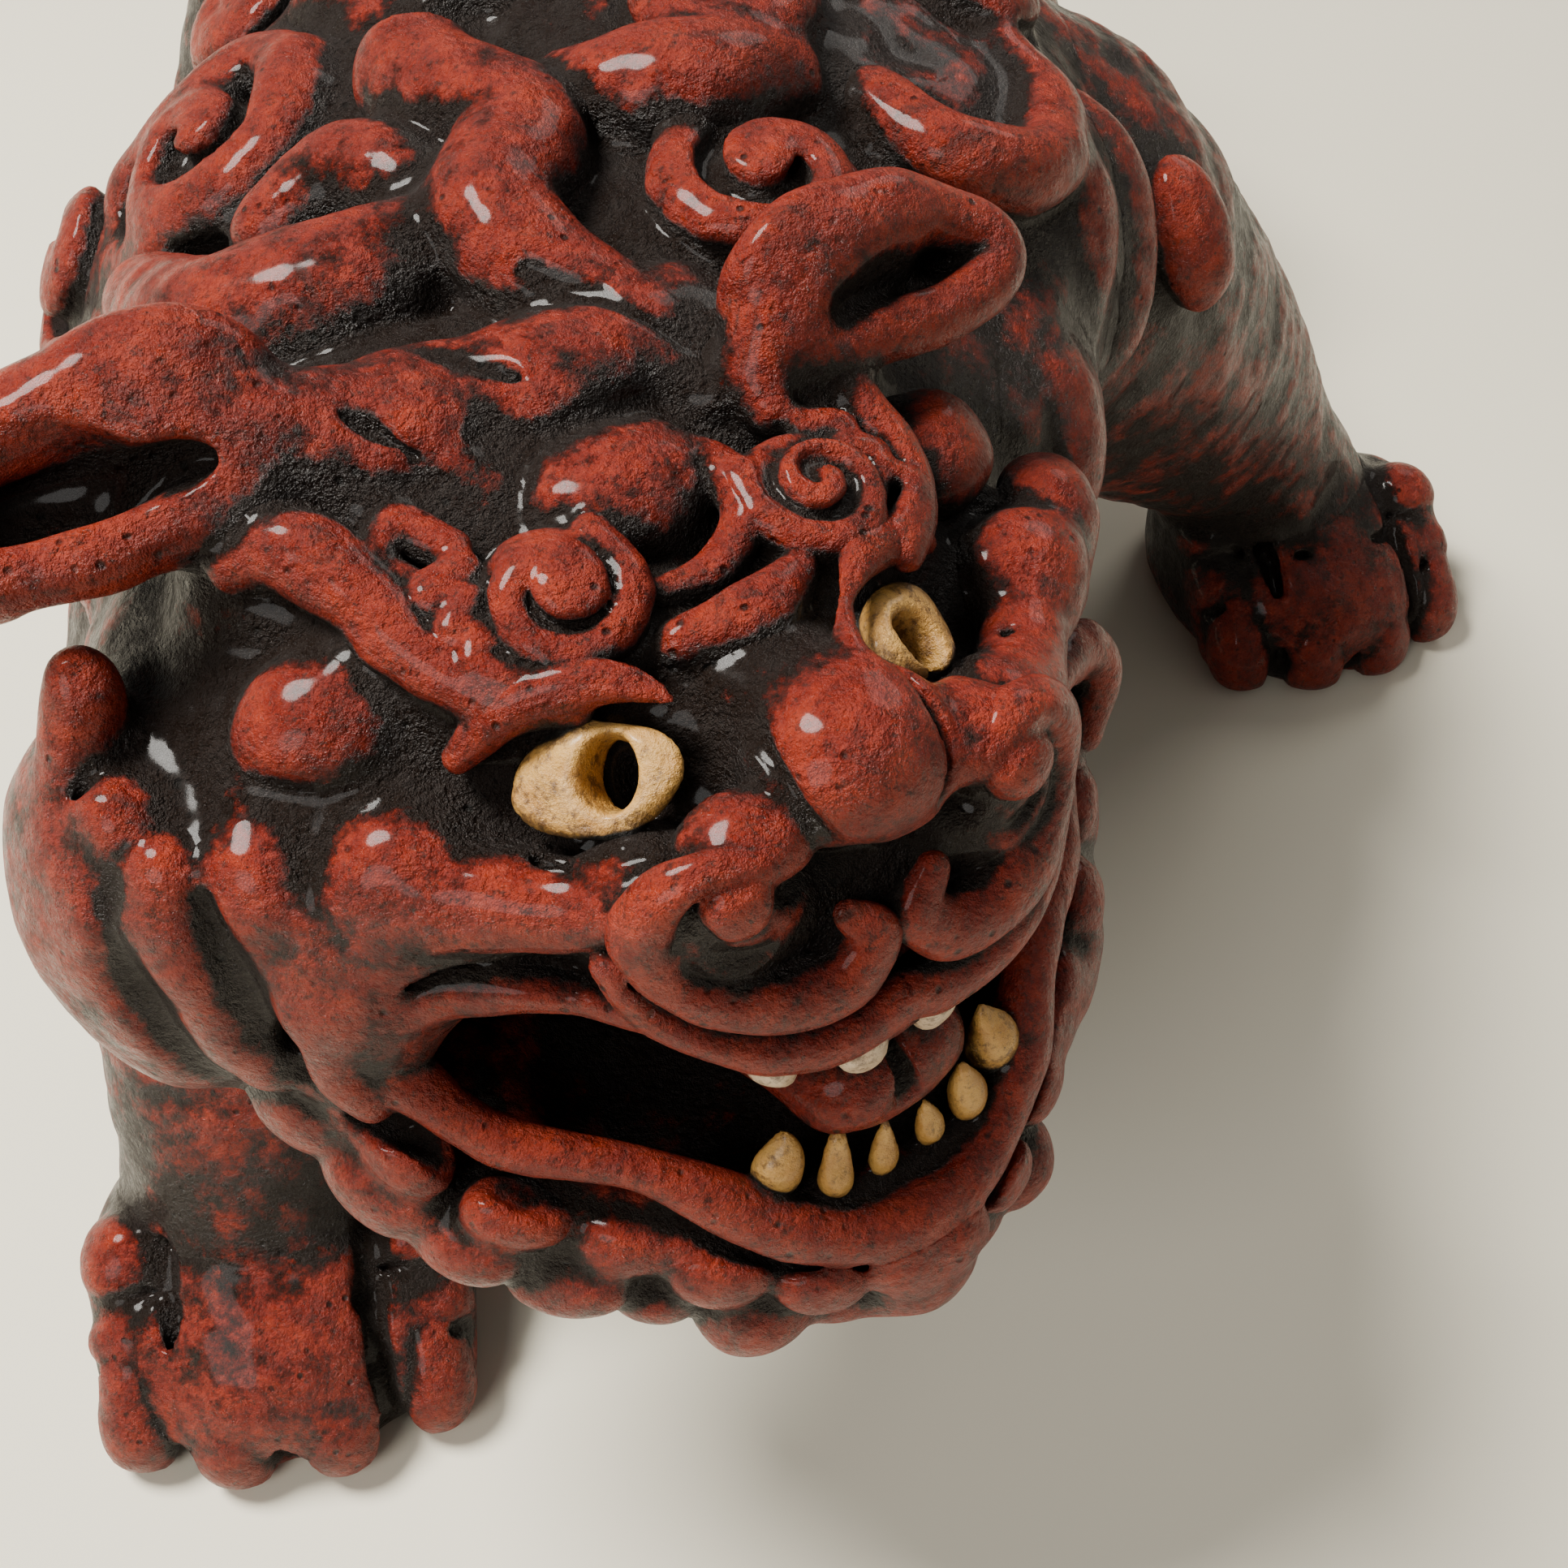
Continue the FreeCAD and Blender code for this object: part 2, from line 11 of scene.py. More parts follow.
import bpy
import numpy as np
import openvdb
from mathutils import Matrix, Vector


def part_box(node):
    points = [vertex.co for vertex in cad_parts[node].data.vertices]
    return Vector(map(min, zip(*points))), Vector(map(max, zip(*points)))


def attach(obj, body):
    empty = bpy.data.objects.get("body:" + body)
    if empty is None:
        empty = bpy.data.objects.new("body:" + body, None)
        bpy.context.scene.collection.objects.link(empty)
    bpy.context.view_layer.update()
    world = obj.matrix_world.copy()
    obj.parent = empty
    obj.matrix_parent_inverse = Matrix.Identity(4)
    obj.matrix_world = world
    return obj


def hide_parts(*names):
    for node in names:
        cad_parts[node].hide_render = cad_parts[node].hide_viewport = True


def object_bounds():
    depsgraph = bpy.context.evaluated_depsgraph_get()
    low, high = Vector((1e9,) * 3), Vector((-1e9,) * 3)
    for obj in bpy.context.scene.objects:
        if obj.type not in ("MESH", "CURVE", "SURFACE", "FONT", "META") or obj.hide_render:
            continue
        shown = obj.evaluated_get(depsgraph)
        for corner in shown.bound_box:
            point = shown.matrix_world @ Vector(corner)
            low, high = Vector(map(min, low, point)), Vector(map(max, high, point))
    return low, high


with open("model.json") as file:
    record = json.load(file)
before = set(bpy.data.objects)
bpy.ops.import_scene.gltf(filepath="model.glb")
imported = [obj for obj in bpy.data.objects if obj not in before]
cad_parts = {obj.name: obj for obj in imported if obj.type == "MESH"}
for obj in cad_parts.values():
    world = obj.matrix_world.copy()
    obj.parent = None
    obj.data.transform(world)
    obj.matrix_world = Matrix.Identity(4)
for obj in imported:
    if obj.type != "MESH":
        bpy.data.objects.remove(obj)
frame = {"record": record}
CAD_LOW, CAD_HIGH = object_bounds()

MM = 0.001
SEED = 11
SIDES = (-1.0, 1.0)
# The grid's spacing on the head and elsewhere. Lengths are in millimetres unless a comment says metres.
HEAD_STEP = 0.5
BODY_STEP = 0.9
# A distance that counts as far away, and how far round a form its field is drawn.
FAR = 40.0
MARGIN = 7.0
# Distances are cut off beyond these bands before blurring and before meshing.
BLUR_BAND = 5.0
MESH_BAND = 3.0
# How far a piece reaches under its neighbours, and how deep it dips there.
OVERLAP = 1.4
DIP = 0.7
# Raised forms are pressed flat where they stand out this far from the surface around them.
PRESS = 0.95
PRESS_BLEND = 0.8
RELIEF_RADII = {"fine": 1.1, "broad": 3.2, "wide": 7.0}
# Lumps in the clay: wavelength, height and seed.
CLAY_LUMPS = ((19.0, 0.7, 1), (8.0, 0.55, 2), (3.6, 0.3, 3))
THINNEST_LOCK = 0.15
SHORTEST_BIT = 1e-3

# ---- Places from the frame ----


def vec(*values):
    return np.array(values, dtype=float)


def unit(v):
    return np.asarray(v, dtype=float) / np.linalg.norm(v)


def middle(node):
    low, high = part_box(node)
    return np.array([(a + b) / 2.0 for a, b in zip(low, high)]) / MM


EYE_SET_BACK = 2.0
EYE_SET_DOWN = 1.0
UP = vec(0.0, 0.0, 1.0)
ACROSS = middle("eye_left") - middle("eye_right")
ACROSS = unit(vec(ACROSS[0], ACROSS[1], 0.0))
FORWARD = vec(ACROSS[1], -ACROSS[0], 0.0)
EYES = (middle("eye_left") + middle("eye_right")) / 2.0 + FORWARD * EYE_SET_BACK + UP * EYE_SET_DOWN
HEAD_AXES = np.array([ACROSS, FORWARD, UP])
BODY_AXES = np.eye(3)
# Behind this line, measured back from the eyes, the skull bends to the right.
BEND_LINE = 8.0
BACK_OF_HEAD_TURN = 0.2


def head(left, forward, up):
    """A point from the midpoint between the eyes; behind the eyes the skull bends to the right."""
    bend = BACK_OF_HEAD_TURN * min(forward + BEND_LINE, 0.0)
    return EYES + ACROSS * (left + bend) + FORWARD * forward + UP * up


def box_point(nodes, across, back, up):
    """A point in the box round some nodes: shares from right to left, front to back, and low to high."""
    low = np.min([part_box(node)[0] for node in nodes], axis=0) / MM
    high = np.max([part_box(node)[1] for node in nodes], axis=0) / MM
    return low + (high - low) * vec(across, back, up)


def limb_point(node, out, back, up):
    """A point in one node's box, with its first share counted outwards from the dog's middle."""
    return box_point([node], out if node.endswith("left") else 1.0 - out, back, up)


TRUNK_SHELLS = ("trunk_shell_right", "trunk_shell_left")
# The middle of the trunk's box in the coordinates that the mane's places are given in.
TRUNK_MIDDLE = vec(-8.85, 22.55, 101.35)


def trunk_point(across, back, up):
    return box_point(TRUNK_SHELLS, across, back, up)


def body(x, y, z):
    """A place in the mane, tied to the trunk's box."""
    return trunk_point(0.5, 0.5, 0.5) + vec(x, y, z) - TRUNK_MIDDLE


def turned(axes, yaw=0.0, pitch=0.0, roll=0.0):
    """Rows of axes turned by roll about forward, pitch about across, then yaw about up, in degrees."""
    a, b, c = (math.radians(v) for v in (yaw, pitch, roll))
    about_up = np.array([[math.cos(a), -math.sin(a), 0], [math.sin(a), math.cos(a), 0], [0, 0, 1]])
    about_across = np.array([[1, 0, 0], [0, math.cos(b), -math.sin(b)], [0, math.sin(b), math.cos(b)]])
    about_forward = np.array([[math.cos(c), 0, math.sin(c)], [0, 1, 0], [-math.sin(c), 0, math.cos(c)]])
    turn = about_up @ about_across @ about_forward
    return turn.T @ axes


def facing(normal, hint=(0.0, 0.0, 1.0)):
    """Axes whose third row is the normal, and whose second leans towards the hint."""
    n = unit(normal)
    side = np.cross(hint, n)
    if np.linalg.norm(side) < 0.05:
        side = np.cross((0.0, 1.0, 0.0), n)
    side = unit(side)
    return np.array([side, np.cross(n, side), n])


# ---- Forms ----
# A form is a list of bits: (low corner, high corner, distance function of x, y, z).


def ellipsoid(centre, radii, axes=None):
    """One bit: an ellipsoid whose radii run along the rows of axes, the head's own if none are given."""
    centre = np.asarray(centre, dtype=float)
    radii = np.asarray(radii, dtype=float)
    axes = HEAD_AXES if axes is None else axes
    reach = np.sqrt(((axes * radii[:, None]) ** 2).sum(axis=0))

    def distance(x, y, z):
        dx, dy, dz = x - centre[0], y - centre[1], z - centre[2]
        near = 0.0
        slope = 0.0
        for axis, radius in zip(axes, radii):
            share = ((dx * axis[0] + dy * axis[1] + dz * axis[2]) / radius) ** 2
            near = near + share
            slope = slope + share / radius ** 2
        near = np.sqrt(near)
        return near * (near - 1.0) / np.maximum(np.sqrt(slope), 1e-5)

    return [(centre - reach, centre + reach, distance)]


def capsule(start, end, start_radius, end_radius):
    """A bit with two round ends, tapering from one to the other."""
    run = end - start
    length = float(run @ run)
    radius = max(start_radius, end_radius)

    def distance(x, y, z):
        dx, dy, dz = x - start[0], y - start[1], z - start[2]
        share = np.clip((dx * run[0] + dy * run[1] + dz * run[2]) / length, 0.0, 1.0)
        dx, dy, dz = dx - run[0] * share, dy - run[1] * share, dz - run[2] * share
        return np.sqrt(dx * dx + dy * dy + dz * dz) - (start_radius + (end_radius - start_radius) * share)

    return (np.minimum(start, end) - radius, np.maximum(start, end) + radius, distance)


def through(values, samples):
    """A Catmull-Rom curve through rows of values."""
    v = np.asarray(values, dtype=float)
    v = np.vstack([2.0 * v[0] - v[1], v, 2.0 * v[-1] - v[-2]])
    rows = []
    for i in range(1, len(v) - 2):
        for t in np.arange(samples) / samples:
            rows.append(0.5 * (2.0 * v[i] + (v[i + 1] - v[i - 1]) * t
                               + (2.0 * v[i - 1] - 5.0 * v[i] + 4.0 * v[i + 1] - v[i + 2]) * t ** 2
                               + (3.0 * v[i] - v[i - 1] - 3.0 * v[i + 1] + v[i + 2]) * t ** 3))
    rows.append(v[-2])
    return np.array(rows)


def sweep(points, radii, samples=5):
    """A round lock of changing thickness along a smooth curve."""
    radii = np.broadcast_to(np.asarray(radii, dtype=float), (len(points),))
    rows = through(np.column_stack([np.asarray(points), radii]), samples)
    bits = []
    for a, b in zip(rows, rows[1:]):
        if np.linalg.norm(b[:3] - a[:3]) > SHORTEST_BIT:
            bits.append(capsule(a[:3], b[:3], max(a[3], THINNEST_LOCK), max(b[3], THINNEST_LOCK)))
    return bits


POINTS_A_TURN = 9
FEWEST_POINTS = 6
SPIRAL_START = 0.14
DOME_FALL = 0.86


def spiral_points(centre, axes, radius, height, start, turns, direction):
    """Points that wind outwards from a dome's top to its rim."""
    points = []
    count = max(int(POINTS_A_TURN * turns), FEWEST_POINTS)
    for i in range(count + 1):
        share = i / count
        angle = math.radians(start) + direction * 2.0 * math.pi * turns * share
        out = radius * (SPIRAL_START + (1.0 - SPIRAL_START) * share)
        lift = height * math.sqrt(max(1.0 - DOME_FALL * (out / radius) ** 2, 0.0))
        flat = centre + axes[0] * out * math.cos(angle) + axes[1] * out * math.sin(angle)
        points.append(flat + axes[2] * lift)
    return points


# ---- The sculpture: a list of steps that every grid replays ----

STEPS = []


def add(piece, form, blend=2.0):
    STEPS.append((piece, form, blend))


def cut(form, blend=1.0):
    STEPS.append((None, form, blend))


def both(make):
    """Run a maker for the dog's right (-1) and left (1)."""
    for side, word in zip(SIDES, ("right", "left")):
        make(side, word)


def mirrored(half, share=1.0):
    """Points on the dog's right and at its middle, then the same points on its left, nearer in by a share."""
    return half + [(-share * left, forward, up) for left, forward, up in reversed(half[:-1])]


def head_sweep(points, radii, side=1.0):
    """A lock through points on the head; side mirrors it and may narrow it."""
    return sweep([head(side * left, forward, up) for left, forward, up in points], radii)


def lump(piece, place, radii, blend):
    """An ellipsoid of clay on the head, along the head's own directions."""
    add(piece, ellipsoid(head(*place), radii), blend)


# A rolled lock's own proportions, as shares of its radius, of its height or of its ridge.
CURL_DOME = 0.98
CURL_BEAD = (0.36, 0.36, 0.3)
CURL_BEAD_LIFT = 0.85
CURL_RIM = 0.9
CURL_GAP_LIFT = 1.08
CURL_GAP = 0.42


def curl(piece, centre, normal, radius, height, start, turns, direction, ridge=0.2, blend=1.6):
    """A rolled lock: a dome, a spiral ridge that winds out of a bead, and the groove beside it."""
    axes = facing(normal)
    centre = np.asarray(centre, dtype=float)
    lift = height * radius
    add(piece, ellipsoid(centre, (CURL_DOME * radius, CURL_DOME * radius, lift), axes), blend)
    bead = [share * radius for share in CURL_BEAD]
    add(piece, ellipsoid(centre + axes[2] * lift * CURL_BEAD_LIFT, bead, axes), 0.3)
    path = spiral_points(centre, axes, CURL_RIM * radius, lift, start, turns, direction)
    add(piece, sweep(path, np.linspace(0.75, 1.1, len(path)) * ridge * radius, 2), 0.35 * ridge * radius)
    gap_lift = CURL_GAP_LIFT * lift
    gap = spiral_points(centre, axes, CURL_RIM * radius, gap_lift, start + 180.0, turns, direction)
    cut(sweep(gap, CURL_GAP * ridge * radius, 2), 0.4 * ridge * radius)


# ---- Head ----


def model_skull():
    lump("head_shell", (0, -32, -16), (40, 36, 25), 1)
    lump("head_shell", (0, -40, -16), (44, 28, 24), 6)

    for side in SIDES:
        wide = 0.77 if side > 0 else 1.02
        lump("head_shell", (side * wide * 32, -23, -20), (18, 22, 19), 8)
        lump("head_shell", (side * wide * 40, -27, -27), (14, 18, 16), 7)
        lump("head_shell", (side * wide * 37, -14, -24), (10, 12, 11), 6)
        add("head_shell", head_sweep([(6, -8, 1), (16, -11, 2), (27, -20, 1)], [5, 5, 4], side), 5)
    lump("head_shell", (-47, -29, -26), (13, 17, 22), 6)
    lump("head_shell", (-2, -34, 3), (32, 13, 9.5), 5)
    lump("muzzle", (0, 1, -13), (20, 15.5, 12), 6)
    lump("muzzle", (0, -1, -2), (9, 13, 6), 5)
    lump("muzzle", (0, -3, -17), (34, 19, 7), 6)


def model_jaw():
    lump("lower_jaw", (0, -6, -50), (42, 33, 13), 3)
    lump("lower_jaw", (0, -34, -40), (36, 24, 20), 6)

    for side in SIDES:
        lump("lower_jaw", (side * 38, -16, -38), (11, 16, 13), 5)
    cut(ellipsoid(head(-1, -3, -33), (38, 31, 10.5)), 2)
    cut(ellipsoid(head(0, 4, -40), (30, 22, 9)), 2)
    lip = [(-41, -4, -30.5), (-34, 6, -36.5), (-24, 15, -38.5), (-15.5, 23, -45), (-7.5, 27, -48.5),
           (0, 28, -48.5)]
    lip = mirrored(lip, 0.9)
    add("lower_jaw", head_sweep(lip, [2.6, 3.2, 3, 3.2, 3.2, 3.2, 3.2, 3.2, 3, 3.2, 2.6]), 1.2)
    lump("lower_jaw", (0, 13, -55), (21, 14, 8), 4)
    tongue_axes = turned(HEAD_AXES, pitch=14)
    add("tongue", ellipsoid(head(0, 4, -38.5), (12.5, 20, 5.5), tongue_axes), 1)
    lump("tongue", (0, 17, -36.5), (10, 7, 5), 2.5)
    cut(head_sweep([(0, -6, -33.5), (0, 8, -32), (0, 18, -31.5), (0, 25, -36)], 1.1), 1)


def model_beard():
    """Lumpy curls that hang under the lower lip, from jowl to jowl."""
    dice = np.random.default_rng(SEED)
    low_row = [(-48, -8, -40), (-46, 0, -45), (-40, 7, -50), (-33, 14, -53), (-25, 19, -57), (-17, 24, -60),
               (-8, 28, -61), (0, 29.5, -60)]
    high_row = [(-43, 3, -40), (-37, 10, -45), (-29, 17, -48), (-21, 23, -52), (-12, 29, -54), (-3, 31, -54)]
    for row, size in ((low_row, 6.8), (high_row, 5)):
        for left, forward, up in row + [(-0.88 * l, f, u) for l, f, u in row]:
            slip = dice.uniform(-1, 1, 3)
            radii = size * dice.uniform(0.85, 1.2, 3) * vec(1, 0.8, 0.85)
            lean = turned(HEAD_AXES, yaw=-1.3 * left, pitch=dice.uniform(-35, 5), roll=dice.uniform(-30, 30))
            add("beard_curls", ellipsoid(head(0.96 * left, forward - 2, up - 0.5) + slip, radii, lean), 1.6)
    crease = [(-44, -3, -35), (-36, 7, -41), (-26, 16, -43), (-17, 23.5, -49), (-8, 28, -52.5),
            (0, 29.5, -53)]
    crease = mirrored(crease, 0.88)
    cut(head_sweep(crease, 1.5), 1.4)


def model_teeth():
    for side in SIDES:
        def tooth(piece, left, forward, root, tip, wide):
            points = [head(side * left, forward, root), head(side * left, forward + 0.6, 0.5 * (root + tip)),
                      head(side * (left - 0.4), forward, tip)]
            add(piece, sweep(points, [0.8 * wide, wide, 0.45 * wide]), 0.3)

        tooth("lower_fangs", 12.6, 19.6, -45.5, -34.5, 2.6)
        tooth("lower_incisors", 7.8, 22.6, -46, -38.4, 2.4)
        tooth("lower_incisors", 2.7, 23.2, -46, -39.2, 2.3)
        tooth("upper_fangs", 12.6, 17.8, -23, -31, 2.5)
        tooth("upper_incisors", 4.2, 19.8, -24, -29.8, 2.1)


EYE_LEFT = 14.0


def model_eyes():
    def one(side, word):
        normal = vec(side * 0.50, 0.30, 0.78) @ HEAD_AXES
        along = unit(vec(side * 10.8, -8.3, -4.8) @ HEAD_AXES)
        n = unit(normal - along * (normal @ along))
        axes = np.array([along, np.cross(n, along), n])
        centre = head(EYE_LEFT if side > 0 else -18.4, 0.9, 1.2)
        slide = ACROSS * (EYE_LEFT - 17.2 if side > 0 else -1.2)
        cut(ellipsoid(centre + n * 2.4, (10.5, 6.4, 3.8), axes), 2)
        long, high = (6.8, 4.2) if side > 0 else (7.9, 4.5)
        add("eye_" + word, ellipsoid(centre - n * 1.1, (long, high, 2.5), axes), 0.4)
        upper = [(25.5, -8, 0), (21, -7, 4.2), (14.5, -3.5, 6.8), (9, 2.5, 7.4), (7.5, 7.5, 5.2)]
        lower = [(24.5, -5, -2.2), (21.5, 3, -2.8), (16.5, 8.3, -0.8), (11, 9, 3.2)]
        add("head_shell", sweep([head(side * l, f, u) + slide for l, f, u in upper],
                [1.3, 1.9, 1.7, 1.3, 0.8]), 1.2)
        add("head_shell", sweep([head(side * l, f, u) + slide for l, f, u in lower], [0.8, 1.1, 1.1, 0.8]),
            1.2)
        pupil = head(14.2, 3.2, 1.5) if side > 0 else head(-17.2, 1.6, 1.5)
        cut(ellipsoid(pupil, (2.5, 3.5, 9), axes), 0.3)

    both(one)


def model_nose():
    lump("nose", (1.2, 10, 1), (9.4, 9, 7.6), 2)
    lump("nose", (0, 1.5, 3), (6, 7, 3.6), 2.5)

    for side in SIDES:
        add("nose", ellipsoid(head(side * 10.4, 12.2, -1), (5.6, 4.6, 4.2),
                turned(HEAD_AXES, yaw=-25 * side)), 1.2)
        cut(ellipsoid(head(side * 7.5, 17, -4.6), (2.8, 2.6, 2)), 0.9)
        cut(head_sweep([(6.6, 6, 5.5), (6.6, 13, 3.8), (5.6, 17.5, -1)], 0.8, side), 1.2)


def model_moustache():
    def one(side, word):
        name = "moustache_curl_" + word
        bead = head(side * 14, 16.6, -2.4)
        lump(name, (side * 12.5, 12, -9.5), (8, 6, 8.5), 2.5)
        add(name, ellipsoid(bead, (3.3, 3, 3)), 0.3)
        loop = [(11.5, 15.8, 0.2), (15.5, 14.6, 1.6), (19.6, 13.2, -0.8), (21.2, 13, -6.5), (19, 15, -12.2),
                (12.5, 18, -15.4), (6, 19.4, -15.8), (2.4, 19, -11.8), (4.4, 18.4, -8.4)]
        add(name, head_sweep(loop, [1.4, 1.8, 2.2, 2.6, 3, 3.3, 3.1, 2.4, 1.6], side), 0.5)
        gap = [(9, 18, 0.8), (10.2, 18.8, -4), (12, 19.2, -8.2), (16.2, 17.6, -7.4), (18, 16.2, -3)]
        cut(head_sweep(gap, [1, 1.4, 1.7, 1.5, 0.9], side), 0.8)
        outer = [(23.5, 10.5, -10.5), (21, 14, -17), (14.5, 18.2, -21.5), (7, 20.6, -22.8), (0, 21, -21)]
        add(name, head_sweep(outer, [1.8, 2.4, 2.6, 2.4, 1.8], side), 0.7)
        for step in range(3):
            start = head(side * (20.5 + 1.5 * step), 13.0 - 1.5 * step, -8.0 - 4.0 * step)
            end = head(side * (24.0 + 1.0 * step), 8.5 - 2.0 * step, -6.0 - 3.5 * step)
            cut(sweep([start, end], [0.9, 0.5]), 0.8)

    both(one)
    lip = [(-41, -6, -24.5), (-37.5, -3.5, -20.5), (-30, 2.5, -18), (-22.5, 10, -18.3), (-15, 15.5, -22),
           (-7, 17.8, -25), (0, 18.4, -25.6)]
    lip = mirrored(lip)
    thick = [2.6, 2.8, 2.4, 2.4, 2.5, 2.5, 2.5]
    add("muzzle", head_sweep(lip, thick + thick[-2::-1]), 1.2)

    for side in SIDES:
        bar = [(39.5, -4.5, -20.5), (43.5, -5, -23), (44.8, -4.5, -28), (43, -2.8, -33.5)]
        add("muzzle", head_sweep(bar, [2.2, 2.8, 2.8, 2.2], side), 0.8)


def model_cheeks():
    def one(side, word):
        flame = "cheek_flame_" + word
        path = [(46, -17, -11), (41.5, -12, -12.5), (36, -7.2, -12.3), (30, -1.8, -9.8), (24, 4.5, -8.4),
                (18, 9.3, -6.4)]
        add(flame, head_sweep(path, [4.2, 5.2, 5.4, 4.8, 4.3, 4], side), 1.6)
        lobes = [((42.5, -13.5, -10.5), (5.5, 6, 6.5)), ((33, -7.5, -9), (8, 7, 6.5)),
                 ((17.5, 8.5, -6), (5, 5, 4.2))]
        for place, radii in lobes:
            add(flame, ellipsoid(head(side * place[0], *place[1:]), radii), 2)
        cut(head_sweep([(25, 1.5, -5.8), (21, 5.5, -4.2), (18, 9, -2)], 0.8, side), 1.2)
        crease = [(46.5, -9.5, -27), (44, -7.5, -22.5), (39.3, -5.5, -18.2), (33.2, 0.2, -17),
                (26, 6.5, -15.8)]
        cut(head_sweep(crease, [1.4, 2.4, 2.8, 2.6, 2], side), 1.2)
        lump("cheek_ball_" + word, (side * 31, -19.5, -1.5), (8.6, 7.4, 6.4), 1.2)
        out = 0.74 if side > 0 else 1.0
        for low, high in (([50, -30, -14], [46, -31, 3]), ([50, -22, -20], [49.5, -23, -6])):
            add("head_shell", head_sweep([low, high], [4.2, 3], side * out), 2)
        cut(head_sweep([(51, -26, -22), (51.5, -26, -8), (48, -26, 3)], 1.3, side * out), 1.5)
        strand = [(49.5, -17, -8), (51, -13.5, -19), (49.5, -10.5, -31)]
        add("head_shell", head_sweep(strand, [2.6, 3.6, 3], side * out), 1.5)
        for creases in ([(48.5, -13, -9), (49.8, -8, -19), (47.8, -6, -29)],
                        [(54.5, -19, -8), (56.8, -15, -19), (55, -12, -32)]):
            cut(head_sweep(creases, [1, 2, 1.2], side * out), 2.4)

    both(one)


def model_brows():
    def one(side, word):
        normal = vec(side * 0.12, 0.36, 0.92) @ HEAD_AXES
        start = 200.0 if side < 0 else 340.0
        curl("brow_curl_" + word, head(side * 12.6, -12.6, 6.6), normal, 7.4, 0.62, start, 1.6, -side, 0.21,
             1)
        ridge = "brow_ridge_" + word
        outer = [(30, -31, 8.5), (26.5, -28, 9.8), (25, -21.5, 8.6), (25, -15, 6.4), (22.5, -8.5, 4.6),
                (17, -4.2, 4.8)]
        add(ridge, head_sweep(outer, [2.6, 3.8, 3.2, 2.7, 2.2, 1.5], side), 0.9)
        for shift in range(3):
            lobe = [(17.5 + 1.5 * shift, -19.0 + 3.4 * shift, 9.4 - 0.9 * shift),
                    (21.0 + 0.5 * shift, -18.0 + 4.2 * shift, 8.8 - 1.3 * shift),
                    (19.2 - 1.4 * shift, -14.4 + 4.4 * shift, 7.8 - 1.0 * shift)]
            add(ridge, head_sweep(lobe, [1.7, 1.9, 1.3], side), 0.5)
        hook = [(16.5, -21.5, 9.6), (18.5, -25.5, 9.8), (22, -23.5, 9.4), (21, -20.6, 8.8)]
        add(ridge, head_sweep(hook, [1.6, 2, 1.8, 1.3], side), 0.6)

    both(one)
    lump("forehead_curl", (0.5, -22, 7), (9.5, 8, 6.5), 1.6)
    hook = [(5.5, -24.5, 9), (8, -18.5, 9), (5.6, -12.5, 8.4), (0.5, -9.6, 7.6), (-5, -9.4, 7.2)]
    add("forehead_curl", head_sweep(hook, [2.6, 2.4, 2.2, 2, 1.2]), 1)
    add("forehead_curl", head_sweep([(-6.5, -4.6, 5.8), (0.5, -3.4, 6.4), (6, -5.6, 6.8)], [1.8, 2.9, 1.8]),
        1)
    for left, forward, up, wide in ((-24, -39, 11, 12), (-11, -37, 12, 12), (4, -35, 11.5, 11),
            (18, -38, 10, 10)):
        add("head_shell", ellipsoid(head(left, forward, up), (wide, 7.5, 5.4),
                turned(HEAD_AXES, yaw=0.5 * left)), 1.5)
    for left, forward in ((-30, -34), (-21, -31), (-12, -29.5), (10, -29.5)):
        add("head_shell", head_sweep([(left, forward - 5, 12.5), (left + 3, forward + 3, 9.5)], [3, 1.8]),
            1.2)
    for left in (-17.5, -4, 11):
        cut(head_sweep([(left - 3, -44, 17.5), (left, -36, 17), (left + 4, -30, 13.5)], [0.9, 1.3, 0.8]), 1.2)


def model_ears():
    """Cupped leaves: a thick convex back, a rolled rim, and a bowl that opens outwards and forwards."""
    def one(side, word):
        name = "ear_" + word
        wide, deep = (0.8, 0.46) if side > 0 else (0.95, 0.66)
        yaw = -12.0 * side

        def at(left, forward, up):
            base, back = (21.5, -27.5) if side > 0 else (21, -40.5)
            return head(side * (base + wide * (left - 22)), back + deep * (forward + 43), up + 1.5)

        def leaf(left, forward, up, radii, blend, pitch=0):
            axes = turned(HEAD_AXES, yaw=yaw, pitch=pitch, roll=5.0 * side)
            return ellipsoid(at(left, forward, up), vec(*radii) * vec(wide, deep, 1), axes), blend

        add(name, *leaf(24, -42, 9, (11, 11, 8), 4))
        add(name, *leaf(35, -47, 13, (17, 13, 8), 3))
        add(name, *leaf(29, -50, 17, (11, 8, 7), 3))
        add(name, *leaf(48, -45, 10, (10, 11, 6), 3))
        add(name, *leaf(38, -50, 14, (13, 9, 8), 3))
        hollow = (8.5, 6.5, 6.5) if side > 0 else (11.5, 7.5, 7)
        cut(*leaf(50 if side > 0 else 46, -42, 16, hollow, 1.5, -25))
        cut(*leaf(37, -37.5, 13.5, (10, 4, 4.5), 1.5))
        rim = [(25, -37, 11), (33, -34.5, 10.5), (43, -34, 10), (51, -37, 10.5), (55, -43, 12),
               (52, -48, 14.5), (44, -50, 17),
               (34, -49, 18)]
        add(name, sweep([at(*p) for p in rim], [3.4, 2.9, 2.8, 2.8, 2.8, 3.2, 4, 4.5]), 2)

    both(one)


# ---- Mane ----


def lock(piece, points, radii):
    add(piece, sweep([body(*p) for p in points], radii), 2.2)


MANE_LUMPS = 7


